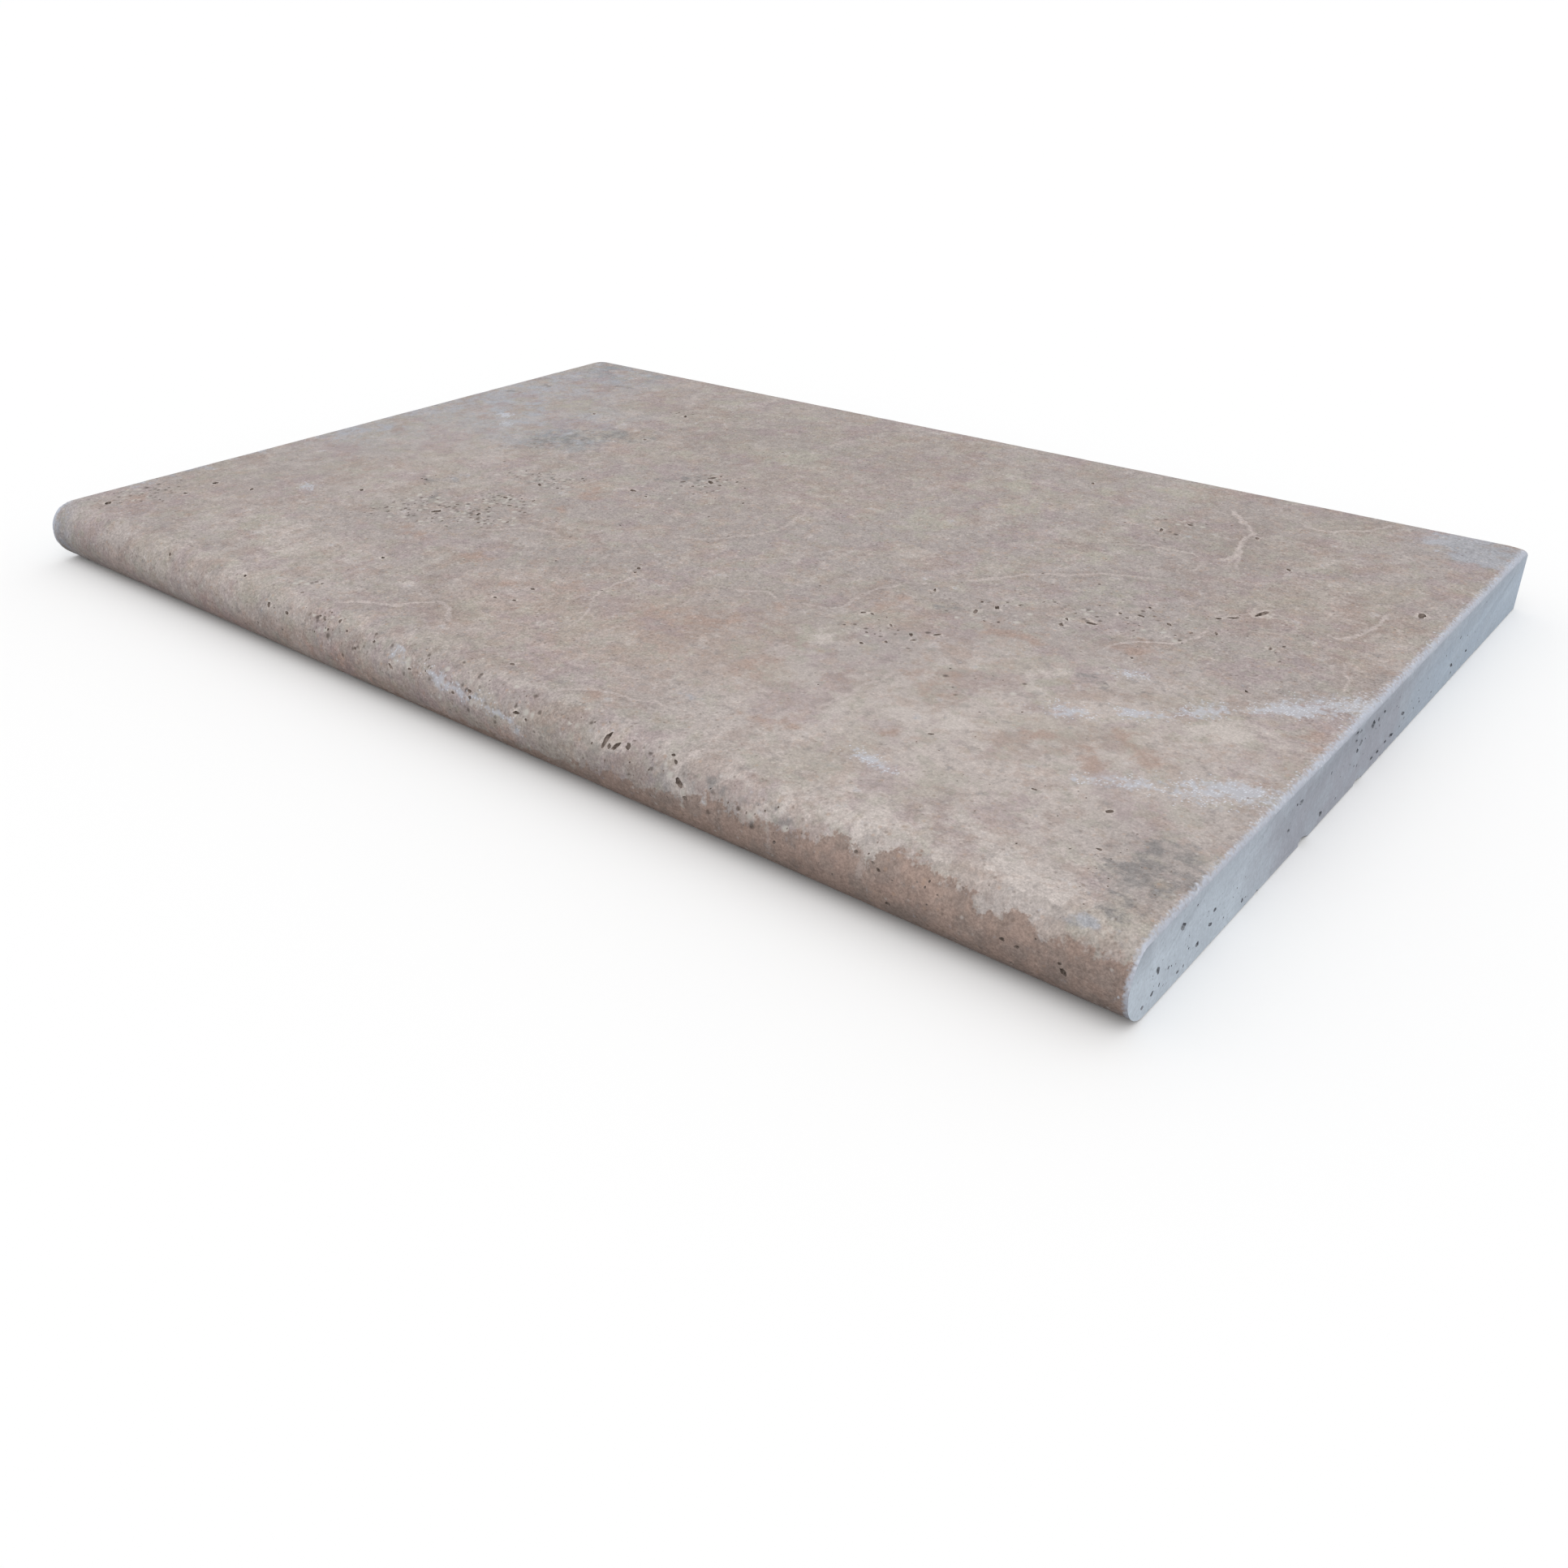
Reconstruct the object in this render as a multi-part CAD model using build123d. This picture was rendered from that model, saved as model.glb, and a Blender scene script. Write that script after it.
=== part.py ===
"""Bullnose coping stone: one slab sawn from travertine, with a full round nose along one long edge.

The stone lies as it is laid, brushed face up. +X runs along the nose, the nose faces -Y and +Z is up.
The origin is the centre of the bounding box on the underside.
"""

import os

from build123d import *

# Driving dimensions, in millimetres
LENGTH = 609.6  # along the nose, a 24 inch stone
DEPTH = 406.4  # from the front of the nose to the back, 16 inches
THICKNESS = 30.0  # slab thickness, 3 cm
ARRIS_RUN = 3.0  # how far the eased top arris reaches in from a straight side
ARRIS_DROP = 2.2  # how far the eased top arris falls down that side
TOOL_CLEARANCE = 8.0  # how far a cutting tool reaches past the stone

# A full bullnose is a half round of the whole thickness
NOSE_RADIUS = THICKNESS / 2
NOSE_FRONT = -DEPTH / 2
NOSE_BACK = NOSE_FRONT + NOSE_RADIUS
BACK = DEPTH / 2
END = LENGTH / 2


def nosed_slab() -> Part:
    """The sawn slab: the section across the stone, with its half-round nose, drawn out along the length."""
    nose = ThreePointArc((NOSE_BACK, 0), (NOSE_FRONT, NOSE_RADIUS), (NOSE_BACK, THICKNESS))
    sides = Polyline((NOSE_BACK, THICKNESS), (BACK, THICKNESS), (BACK, 0), (NOSE_BACK, 0))
    section = make_face([nose, sides])
    return extrude(Plane.YZ * section, amount=END, both=True)


def arris_tool(length: float) -> Part:
    """A tool bar along X that eases the edge at its origin, between a top facing +Z and a side facing +Y.

    Its arc leaves the top tangentially and meets the side at an angle, as a brushed edge does.
    """
    worn_round = TangentArc((-ARRIS_RUN, 0), (0, -ARRIS_DROP), tangent=(1, 0))
    outside = Polyline(
        (0, -ARRIS_DROP),
        (TOOL_CLEARANCE, -ARRIS_DROP),
        (TOOL_CLEARANCE, TOOL_CLEARANCE),
        (-ARRIS_RUN, TOOL_CLEARANCE),
        (-ARRIS_RUN, 0),
    )
    return extrude(Plane.YZ * make_face([worn_round, outside]), amount=length / 2, both=True)


def coping_stone() -> Part:
    """The slab with its top arris eased along the back and both ends.

    An end's tool runs straight on over the nose, so the easing dies out where the nose falls away from it.
    """
    back_tool = Pos(0, BACK, THICKNESS) * arris_tool(LENGTH + 2 * TOOL_CLEARANCE)
    end_tool = arris_tool(DEPTH + 2 * TOOL_CLEARANCE)
    right_tool = Pos(END, 0, THICKNESS) * Rot(Z=-90) * end_tool
    left_tool = Pos(-END, 0, THICKNESS) * Rot(Z=90) * end_tool
    return nosed_slab() - back_tool - right_tool - left_tool


os.makedirs("parts", exist_ok=True)
export_step(coping_stone(), "parts/coping_stone.step")
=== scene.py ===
"""The looks of a bullnose coping stone: one slab of brushed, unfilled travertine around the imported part.

The stone lies as it is laid: +X runs along the nose, the nose faces -Y and +Z is up. Blender works in
metres, and places on the stone are in millimetres. On the brushed face a place is how far it lies along the
nose from the stone's middle, and how far across: the same as Y on the flat, and measured on down the round
of the nose.
"""

import logging
import math
import random
from collections.abc import Iterable, Mapping
from dataclasses import dataclass, field
from enum import Enum, IntEnum
from typing import Any

import bmesh
import bpy
import numpy as np
from mathutils import Matrix, Vector, noise


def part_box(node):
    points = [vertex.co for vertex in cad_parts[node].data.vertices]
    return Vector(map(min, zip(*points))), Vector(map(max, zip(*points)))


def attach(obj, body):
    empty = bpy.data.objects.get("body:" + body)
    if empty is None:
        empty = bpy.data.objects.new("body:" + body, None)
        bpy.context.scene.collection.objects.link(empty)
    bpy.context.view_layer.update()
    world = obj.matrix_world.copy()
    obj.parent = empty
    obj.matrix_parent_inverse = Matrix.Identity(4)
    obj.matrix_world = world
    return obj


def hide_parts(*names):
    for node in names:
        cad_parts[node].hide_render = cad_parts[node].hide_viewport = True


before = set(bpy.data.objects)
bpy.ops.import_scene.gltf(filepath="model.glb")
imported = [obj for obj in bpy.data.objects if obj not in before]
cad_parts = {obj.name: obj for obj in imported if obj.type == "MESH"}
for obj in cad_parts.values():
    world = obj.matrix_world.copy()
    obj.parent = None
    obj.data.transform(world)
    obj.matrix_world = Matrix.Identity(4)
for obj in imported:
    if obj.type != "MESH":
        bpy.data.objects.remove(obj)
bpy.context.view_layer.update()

NODE = "coping_stone"
BODY = "root"
MM = 0.001
SEED = 20
# Where most of a noise texture's values lie
NOISE_SPAN = {"From Min": 0.3, "From Max": 0.7}
log = logging.getLogger(NODE)
Tree = bpy.types.NodeTree
Socket = bpy.types.NodeSocket
Rgba = tuple[float, float, float, float]


def linear(hex_colour: str) -> Rgba:
    """Turns an sRGB hex colour into the linear RGBA that shaders take.

    Args:
        hex_colour: Six hex digits after a hash.

    Returns:
        Linear red, green, blue and an alpha of one.
    """
    parts = [int(hex_colour[i : i + 2], 16) / 255 for i in (1, 3, 5)]
    return (*(p / 12.92 if p <= 0.04045 else ((p + 0.055) / 1.055) ** 2.4 for p in parts), 1.0)


def smooth_step(start: float, stop: float, values: np.ndarray) -> np.ndarray:
    """Rises smoothly from 0 at start to 1 at stop, which may be the lower of the two."""
    share = np.clip((values - start) / (stop - start), 0.0, 1.0)
    return share * share * (3.0 - 2.0 * share)


def per_metre(size_mm: float) -> float:
    """The texture scale at which a pattern repeats about every size_mm."""
    return 1.0 / (size_mm * MM)


def node(
    tree: Tree,
    kind: str,
    inputs: Mapping[str | int, Any] | None = None,
    out: str = "",
    **settings: Any,
) -> Socket:
    """Adds one shader node with its settings and its inputs.

    Args:
        tree: The node tree to add to.
        kind: The node's type name.
        inputs: For each input, by name or number, a value or the output socket to link to it.
        out: The output that is wanted, if it isn't the first one in use.
        **settings: Properties of the node itself.

    Returns:
        The node's output.
    """
    made = tree.nodes.new(kind)
    for name, value in settings.items():
        setattr(made, name, value)
    for key, value in (inputs or {}).items():
        socket = made.inputs[key] if isinstance(key, int) else next(
            s for s in made.inputs if s.enabled and s.name == key
        )
        if isinstance(value, bpy.types.NodeSocket):
            tree.links.new(value, socket)
        else:
            socket.default_value = value
    return made.outputs[out] if out else next(s for s in made.outputs if s.enabled)


class Tint(Enum):
    """The colours that one block of this travertine runs through, and two that paint light on the nose: a
    highlight along its shoulder and a warm reflection under it.
    """

    BASE = "#A59C99"
    CREAM = "#B9AFAA"
    ORANGE = "#B09E95"
    ROSE = "#A59894"
    BROWN = "#9B918C"
    PALE_GREY = "#A8A5A5"
    COOL_GREY = "#919396"
    LAVENDER = "#A5A4AA"
    SAGE = "#9F9993"
    UMBER = "#8C8581"
    RUST = "#A38F84"
    # Painted reflection: warm light thrown up under the nose
    WARM_REFLECTION = "#BC998A"
    # Cream stone with a painted highlight, for the strip along the nose's shoulder
    IVORY_AND_HIGHLIGHT = "#C3BAB5"


class Face(Enum):
    """The faces of the stone that a pore can open on."""

    BRUSHED = "brushed top and nose"
    RIGHT_END = "sawn end at +X"
    LEFT_END = "sawn end at -X"
    BACK = "sawn back"
    UNDERSIDE = "sawn underside"


class Finish(IntEnum):
    """The material slots of the stone's mesh."""

    BRUSHED = 0
    SAWN = 1


class Mark(Enum):
    """The attributes that carry the stone's own markings to its materials, and a painted highlight round its
    pores.
    """

    TINT = "tint"
    VEIN = "vein_offset"
    VEIN_SHARE = "vein_share"
    BAND = "band_depth"
    WORN = "worn"
    ETCHED = "etched"
    CALM = "calm"
    FROST = "frost"
    PALE = "pale"
    RUSTY = "rusty"
    DUSKY = "dusky"
    KHAKI = "khaki"
    BLUISH = "bluish"
    # Painted highlight: the pale rims round the pores
    RIM_HIGHLIGHT = "pore_rim_highlight"


def rounded(points: Iterable[tuple[float, float]]) -> np.ndarray:
    """Cuts the corners of a line of given points three times, so that it runs in soft bends.

    Args:
        points: The line's points.

    Returns:
        The rounded line, one point in a row.
    """
    line = np.array(list(points), float)
    for _ in range(3):
        near, far = line[:-1], line[1:]
        cut = np.stack([0.75 * near + 0.25 * far, 0.25 * near + 0.75 * far], axis=1).reshape(-1, 2)
        line = np.vstack([line[:1], cut, line[-1:]])
    return line


def offset_from(line: np.ndarray, places: np.ndarray) -> tuple[np.ndarray, np.ndarray]:
    """Measures how far places lie from a line, and how far along it their nearest point is.

    Args:
        line: The line's points.
        places: The places to measure.

    Returns:
        The offset, negative on the line's right side, and the share of the line's length.
    """
    best = np.full(len(places), np.inf)
    share = np.zeros(len(places))
    side = np.ones(len(places))
    steps = np.linalg.norm(np.diff(line, axis=0), axis=1)
    walked = np.concatenate([[0.0], np.cumsum(steps)])
    for start, stop, step, before in zip(line[:-1], line[1:], steps, walked):
        run = stop - start
        away = places - start
        along = np.clip(away @ run / (step * step), 0.0, 1.0)
        gap = np.linalg.norm(away - along[:, None] * run, axis=1)
        nearer = gap < best
        best[nearer] = gap[nearer]
        share[nearer] = (before + along[nearer] * step) / walked[-1]
        side[nearer] = np.where(run[0] * away[nearer, 1] - run[1] * away[nearer, 0] < 0.0, -1.0, 1.0)
    return best * side, share


@dataclass(frozen=True)
class Cloud:
    """A stain: an oval in millimetres, a soft drift of one tint or the place of a torn-edged patch."""

    kind: Tint | Mark
    along: float
    across: float
    long: float
    wide: float
    turn: float = 0.0
    strength: float = 1.0

    def weight(self, places: np.ndarray) -> np.ndarray:
        """Works out how much of the stain lies at each place.

        Args:
            places: The places, along and across the brushed face.

        Returns:
            A weight for each place, from 0 to the stain's strength.
        """
        angle = math.radians(self.turn)
        away = places - (self.along, self.across)
        u = (away[:, 0] * math.cos(angle) + away[:, 1] * math.sin(angle)) / self.long
        v = (away[:, 1] * math.cos(angle) - away[:, 0] * math.sin(angle)) / self.wide
        return self.strength * smooth_step(1.6, 0.2, np.hypot(u, v))


@dataclass(frozen=True)
class Streak:
    """A vein of calcite: its line on the brushed face, how strongly it shows and how wide it is."""

    points: tuple[tuple[float, float], ...]
    strength: float = 1.0
    width: float = 1.5

    def near(self, places: np.ndarray, reach: float) -> np.ndarray:
        """Picks the places that lie near the vein.

        Args:
            places: The places to pick from.
            reach: How far outside the vein's own box a place may lie.

        Returns:
            The numbers of the picked places.
        """
        points = np.array(self.points)
        low, high = points.min(0) - reach, points.max(0) + reach
        return np.flatnonzero(((places >= low) & (places <= high)).all(1))


@dataclass(frozen=True)
class Pit:
    """One open pore: where it is on its face, how large its mouth is, and how it is turned."""

    face: Face
    along: float
    across: float
    long: float
    wide: float
    turn: float = 0.0


@dataclass(frozen=True)
class PitBed:
    """A loose cluster of small pores, scattered about a place with these spreads."""

    face: Face
    along: float
    across: float
    spread_along: float
    spread_across: float
    count: int
    largest: float
    turn: float = 60.0
    etched: float = 0.0

    def ticks(self, places: np.ndarray) -> np.ndarray:
        """How thickly fine etched ticks lie about the cluster at each place, from 0 to 1."""
        away = (places - (self.along, self.across)) / (self.spread_along, self.spread_across)
        return self.etched * smooth_step(2.4, 0.6, np.linalg.norm(away, axis=1))


DRIFTS = (
    # Pale and cool to the left, cream to the right of the nose
    Cloud(Tint.CREAM, 180, -144, 95, 46, 0, 1.0),
    Cloud(Tint.CREAM, 215, -72, 46, 20, 20, 0.35),
    Cloud(Tint.CREAM, 205, -180, 100, 18, 0, 0.9),
    Cloud(Tint.CREAM, 226, -92, 70, 60, 0, 1.1),
    Cloud(Tint.CREAM, 240, -160, 34, 20, 0, 0.6),
    Cloud(Tint.CREAM, 270, -130, 34, 12, 10, 0.6),
    Cloud(Tint.CREAM, 278, -60, 26, 18, 15, 0.6),
    Cloud(Tint.CREAM, -200, -8, 66, 22, -10, 0.5),
    Cloud(Tint.CREAM, -158, -158, 70, 26, -8, 0.75),
    Cloud(Tint.CREAM, -206, -70, 30, 42, 0, 0.5),
    Cloud(Tint.PALE_GREY, -238, 70, 75, 58, 40, 0.9),
    Cloud(Tint.PALE_GREY, -285, 5, 38, 70, 10, 0.8),
    Cloud(Tint.LAVENDER, -262, 172, 52, 34, -25, 0.8),
    Cloud(Tint.LAVENDER, -278, 118, 44, 60, 0, 0.6),
    Cloud(Tint.LAVENDER, -200, 60, 46, 34, 45, 0.6),
    Cloud(Tint.LAVENDER, -302, 90, 20, 100, 0, 0.6),
    Cloud(Tint.LAVENDER, -300, -8, 16, 40, 0, 0.5),
    Cloud(Tint.LAVENDER, 286, 184, 30, 21, -30, 0.6),
    # Browner and rosier in the middle and at the back
    Cloud(Tint.ROSE, -205, 150, 48, 26, -25, 0.4),
    Cloud(Tint.ROSE, 25, 120, 34, 42, 10, 0.7),
    Cloud(Tint.ROSE, -250, -140, 46, 20, -8, 0.5),
    Cloud(Tint.BROWN, -120, 112, 66, 26, -25, 0.7),
    Cloud(Tint.BROWN, -30, 145, 70, 36, 0, 0.7),
    Cloud(Tint.BROWN, -108, 92, 42, 40, 0, 0.35),
    Cloud(Tint.BROWN, 196, 132, 34, 34, 0, 0.7),
    Cloud(Tint.BROWN, 275, 75, 26, 42, 0, 0.45),
    Cloud(Tint.COOL_GREY, -272, 188, 42, 24, 0, 0.8),
    Cloud(Tint.COOL_GREY, -180, 46, 27, 16, 50, 1.1),
    Cloud(Tint.COOL_GREY, -163, 72, 20, 14, 35, 1.1),
    Cloud(Tint.BROWN, -168, 92, 26, 16, -20, 0.35),
    Cloud(Tint.BROWN, 70, 140, 16, 22, 25, 0.4),
    Cloud(Tint.BROWN, 232, 190, 14, 14, 0, 0.5),
    Cloud(Tint.BROWN, 215, 110, 40, 30, 20, 0.35),
    Cloud(Tint.BROWN, -30, -5, 34, 30, 30, 0.35),
    Cloud(Tint.BROWN, -265, -78, 45, 34, 15, 0.3),
    Cloud(Tint.BROWN, -30, -72, 50, 26, 10, 0.3),
    Cloud(Tint.BROWN, 160, -35, 40, 11, -8, 0.3),
    Cloud(Tint.SAGE, -55, 105, 48, 40, 20, 0.5),
    Cloud(Tint.SAGE, 160, 125, 28, 22, 0, 0.4),
    Cloud(Tint.RUST, -20, 60, 50, 36, 10, 0.25),
    Cloud(Tint.RUST, 245, 60, 26, 34, 0, 0.3),
    Cloud(Tint.RUST, 285, 45, 16, 46, 8, 0.35),
    Cloud(Tint.RUST, 105, -42, 34, 18, -20, 0.25),
    Cloud(Tint.RUST, 66, -112, 52, 32, -15, 0.5),
    Cloud(Tint.ORANGE, 10, -142, 70, 40, -10, 0.6),
    Cloud(Tint.UMBER, 293, -165, 16, 26, 0, 0.3),
    # Along the nose
    # Along the nose's shoulder: cream stone, partly painted highlight
    Cloud(Tint.CREAM, -80, -193.5, 230, 5.0, 0, 0.8),
    Cloud(Tint.CREAM, -190, -205, 110, 9, 0, 0.5),
    Cloud(Tint.IVORY_AND_HIGHLIGHT, 215, -194, 100, 8, 0, 0.9),
    Cloud(Tint.CREAM, -20, -206, 90, 6, 0, 0.4),
    # Painted reflection: warm light low under the nose
    Cloud(Tint.WARM_REFLECTION, -60, -223, 190, 10, 0, 0.5),
    Cloud(Tint.LAVENDER, -297, -206, 12, 16, 0, 0.7),
    Cloud(Tint.LAVENDER, 297, -224, 16, 7, 0, 0.9),
    Cloud(Tint.COOL_GREY, 130, -208, 30, 7, 0, 0.4),
)

PATCHES = (
    # Cream islands
    Cloud(Mark.PALE, 176, -122, 12, 6, 5, 1.0),
    Cloud(Mark.PALE, 192, -114, 8, 12, 0, 0.9),
    Cloud(Mark.PALE, 152, -138, 8, 18, 10, 0.5),
    Cloud(Mark.PALE, 110, -86, 12, 11, 0, 0.6),
    Cloud(Mark.PALE, 272, -65, 13, 13, 0, 0.9),
    Cloud(Mark.PALE, 199, -64, 6, 17, 15, 0.7),
    Cloud(Mark.PALE, 230, -178, 18, 8, 0, 0.8),
    Cloud(Mark.PALE, -174, -150, 11, 11, 0, 0.5),
    Cloud(Mark.PALE, -152, -168, 16, 8, -10, 0.6),
    Cloud(Mark.PALE, -78, -150, 14, 10, 0, 0.35),
    # A strip along the nose's shoulder: paler stone and painted highlight
    Cloud(Mark.PALE, 215, -194.5, 90, 8, 0, 0.35),
    # Iron stains
    Cloud(Mark.RUSTY, 243, -87, 9, 6, -20, 0.9),
    Cloud(Mark.RUSTY, 260, -94, 9, 10, 0, 0.8),
    Cloud(Mark.RUSTY, 221, -110, 13, 9, 0, 0.75),
    Cloud(Mark.RUSTY, 241, -111, 10, 6, 0, 0.8),
    Cloud(Mark.RUSTY, 181, -134, 14, 6, 0, 0.8),
    Cloud(Mark.RUSTY, 139, -157, 15, 5, 8, 0.9),
    Cloud(Mark.RUSTY, 78, -184, 12, 7, 0, 0.9),
    Cloud(Mark.RUSTY, 108, -120, 9, 15, 15, 0.8),
    Cloud(Mark.RUSTY, 66, -100, 12, 10, 0, 0.8),
    Cloud(Mark.RUSTY, 168, -90, 17, 14, -35, 0.75),
    Cloud(Mark.RUSTY, 170, -33, 19, 10, -10, 0.8),
    Cloud(Mark.RUSTY, 108, -38, 9, 12, 10, 0.75),
    Cloud(Mark.RUSTY, 214, -15, 10, 9, 45, 0.95),
    Cloud(Mark.RUSTY, 76, -72, 10, 10, 0, 0.5),
    Cloud(Mark.RUSTY, 296, -46, 8, 14, 0, 0.8),
    Cloud(Mark.RUSTY, -38, -128, 9, 7, 0, 1.0),
    Cloud(Mark.RUSTY, -12, -112, 12, 9, -40, 1.0),
    Cloud(Mark.RUSTY, -72, -115, 12, 7, 0, 0.9),
    Cloud(Mark.RUSTY, -122, -110, 13, 6, 0, 0.9),
    Cloud(Mark.RUSTY, -95, -10, 11, 8, 0, 0.8),
    Cloud(Mark.RUSTY, -88, -40, 8, 5, 0, 0.8),
    Cloud(Mark.RUSTY, -280, -167, 13, 11, 0, 1.0),
    Cloud(Mark.RUSTY, -242, -166, 11, 6, 0, 0.7),
    Cloud(Mark.RUSTY, 48, -108, 17, 12, 0, 0.8),
    Cloud(Mark.RUSTY, 103, 35, 11, 12, 0, 0.4),
    # Grey and sooty patches
    Cloud(Mark.DUSKY, 210, -50, 10, 8, 0, 0.75),
    Cloud(Mark.DUSKY, 129, -28, 9, 6, 0, 0.8),
    Cloud(Mark.DUSKY, 240, -47, 10, 7, 0, 0.4),
    Cloud(Mark.DUSKY, 206, -146, 7, 6, 0, 0.45),
    Cloud(Mark.DUSKY, 292, -149, 15, 8, 20, 1.1),
    Cloud(Mark.DUSKY, 285, -166, 10, 15, 15, 1.15),
    Cloud(Mark.DUSKY, 299, -162, 8, 13, 0, 1.0),
    Cloud(Mark.DUSKY, 289, -183, 7, 12, 10, 1.0),
    Cloud(Mark.DUSKY, 278, -14, 9, 6, 0, 0.6),
    Cloud(Mark.DUSKY, -180, 44, 28, 19, 50, 0.85),
    Cloud(Mark.DUSKY, -162, 70, 22, 15, 40, 0.9),
    Cloud(Mark.DUSKY, -181, -53, 8, 7, 0, 0.95),
    Cloud(Mark.DUSKY, -171, -43, 6, 8, 0, 0.8),
    Cloud(Mark.DUSKY, -134, -12, 13, 9, 0, 0.7),
    Cloud(Mark.DUSKY, -158, -68, 8, 8, 0, 0.6),
    Cloud(Mark.DUSKY, -74, 34, 14, 10, 20, 0.9),
    Cloud(Mark.DUSKY, -281, 127, 6, 5, 0, 0.8),
    Cloud(Mark.DUSKY, -289, 103, 6, 4, 0, 0.8),
    Cloud(Mark.DUSKY, -241, 158, 9, 5, 30, 0.9),
    Cloud(Mark.DUSKY, 146, -200, 14, 4, 0, 0.65),
    Cloud(Mark.DUSKY, 180, -201, 11, 4, 0, 0.6),
    # Greenish-grey beds
    Cloud(Mark.KHAKI, 64, 60, 15, 25, 10, 0.9),
    Cloud(Mark.KHAKI, 92, 108, 9, 19, 15, 0.9),
    Cloud(Mark.KHAKI, 112, 155, 7, 16, 15, 0.8),
    Cloud(Mark.KHAKI, 140, 178, 16, 10, 0, 0.8),
    Cloud(Mark.KHAKI, 72, 140, 7, 13, 20, 1.0),
    Cloud(Mark.KHAKI, 142, 132, 9, 12, 0, 0.7),
    Cloud(Mark.KHAKI, 149, 65, 10, 18, -30, 0.7),
    Cloud(Mark.KHAKI, -155, 172, 11, 10, 0, 0.8),
    Cloud(Mark.KHAKI, -95, 175, 10, 10, 0, 0.7),
    Cloud(Mark.KHAKI, -50, 105, 17, 16, 0, 0.9),
    Cloud(Mark.KHAKI, -100, 70, 10, 8, 0, 0.7),
    Cloud(Mark.KHAKI, -165, 122, 9, 9, 0, 0.8),
    Cloud(Mark.KHAKI, -232, 112, 11, 14, 0, 0.8),
    Cloud(Mark.KHAKI, -100, 15, 13, 9, 0, 0.7),
    Cloud(Mark.KHAKI, -195, -150, 12, 16, 0, 0.8),
    Cloud(Mark.KHAKI, 202, -70, 8, 18, 15, 0.7),
    Cloud(Mark.KHAKI, 106, -88, 14, 14, 0, 0.8),
    Cloud(Mark.KHAKI, 268, -60, 16, 14, 0, 0.7),
    Cloud(Mark.KHAKI, 175, 30, 14, 14, 0, 0.7),
    # Smears of frosty crystals
    Cloud(Mark.FROST, 294, -15, 22, 10, 45, 0.75),
    Cloud(Mark.FROST, 281, -31, 14, 5, 45, 1.1),
    Cloud(Mark.FROST, 258, -52, 13, 7, 40, 0.8),
    Cloud(Mark.FROST, 240, -67, 10, 5, 25, 0.95),
    Cloud(Mark.FROST, 218, -82, 11, 6, 10, 0.75),
    Cloud(Mark.FROST, 223, -38, 9, 4, 5, 0.7),
    Cloud(Mark.FROST, 293, -99, 10, 7, 25, 1.3),
    Cloud(Mark.FROST, 287, -104, 22, 9, 25, 0.75),
    Cloud(Mark.FROST, 262, -115, 12, 5, 20, 0.75),
    Cloud(Mark.FROST, 247, -123, 8, 4, 20, 0.7),
    Cloud(Mark.FROST, 186, -158, 11, 4, 0, 0.85),
    Cloud(Mark.FROST, -248, 64, 7, 5, -55, 1.0),
    Cloud(Mark.FROST, -236, 49, 6, 7, 0, 0.6),
    Cloud(Mark.FROST, -227, -99, 8, 4, -20, 0.75),
    Cloud(Mark.FROST, 12, -204, 22, 2.5, 0, 0.9),
    Cloud(Mark.FROST, 44, -210, 12, 2, -8, 0.9),
    Cloud(Mark.FROST, -22, -200.5, 4, 2, 0, 0.9),
    # Cool, bluish skins
    Cloud(Mark.BLUISH, 286, 184, 27, 22, -30, 1.2),
    Cloud(Mark.BLUISH, -246, 62, 34, 22, 45, 0.65),
    Cloud(Mark.BLUISH, -182, 44, 32, 20, 50, 0.5),
    Cloud(Mark.BLUISH, -288, 105, 20, 60, 0, 0.7),
    Cloud(Mark.BLUISH, -252, 92, 20, 18, 0, 0.6),
    Cloud(Mark.BLUISH, -270, 190, 34, 14, 0, 0.65),
    Cloud(Mark.BLUISH, -292, -8, 16, 34, 0, 0.6),
    Cloud(Mark.BLUISH, -303, -120, 9, 60, 0, 0.7),
    Cloud(Mark.BLUISH, -300, -206, 9, 16, 0, 0.75),
    Cloud(Mark.BLUISH, 298, -224, 14, 7, 0, 1.0),
    Cloud(Mark.BLUISH, 284, -195.5, 6, 3, 0, 0.9),
    Cloud(Mark.BLUISH, -171, -42, 8, 10, 0, 0.7),
    Cloud(Mark.BLUISH, 168, 126, 10, 12, 0, 0.5),
    Cloud(Mark.BLUISH, 103, -166, 12, 7, 0, 0.5),
    # Where the brush left the stone smoothest
    Cloud(Mark.CALM, 200, -110, 130, 85, 0, 0.9),
    Cloud(Mark.CALM, -255, 30, 75, 140, 0, 0.9),
)

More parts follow.
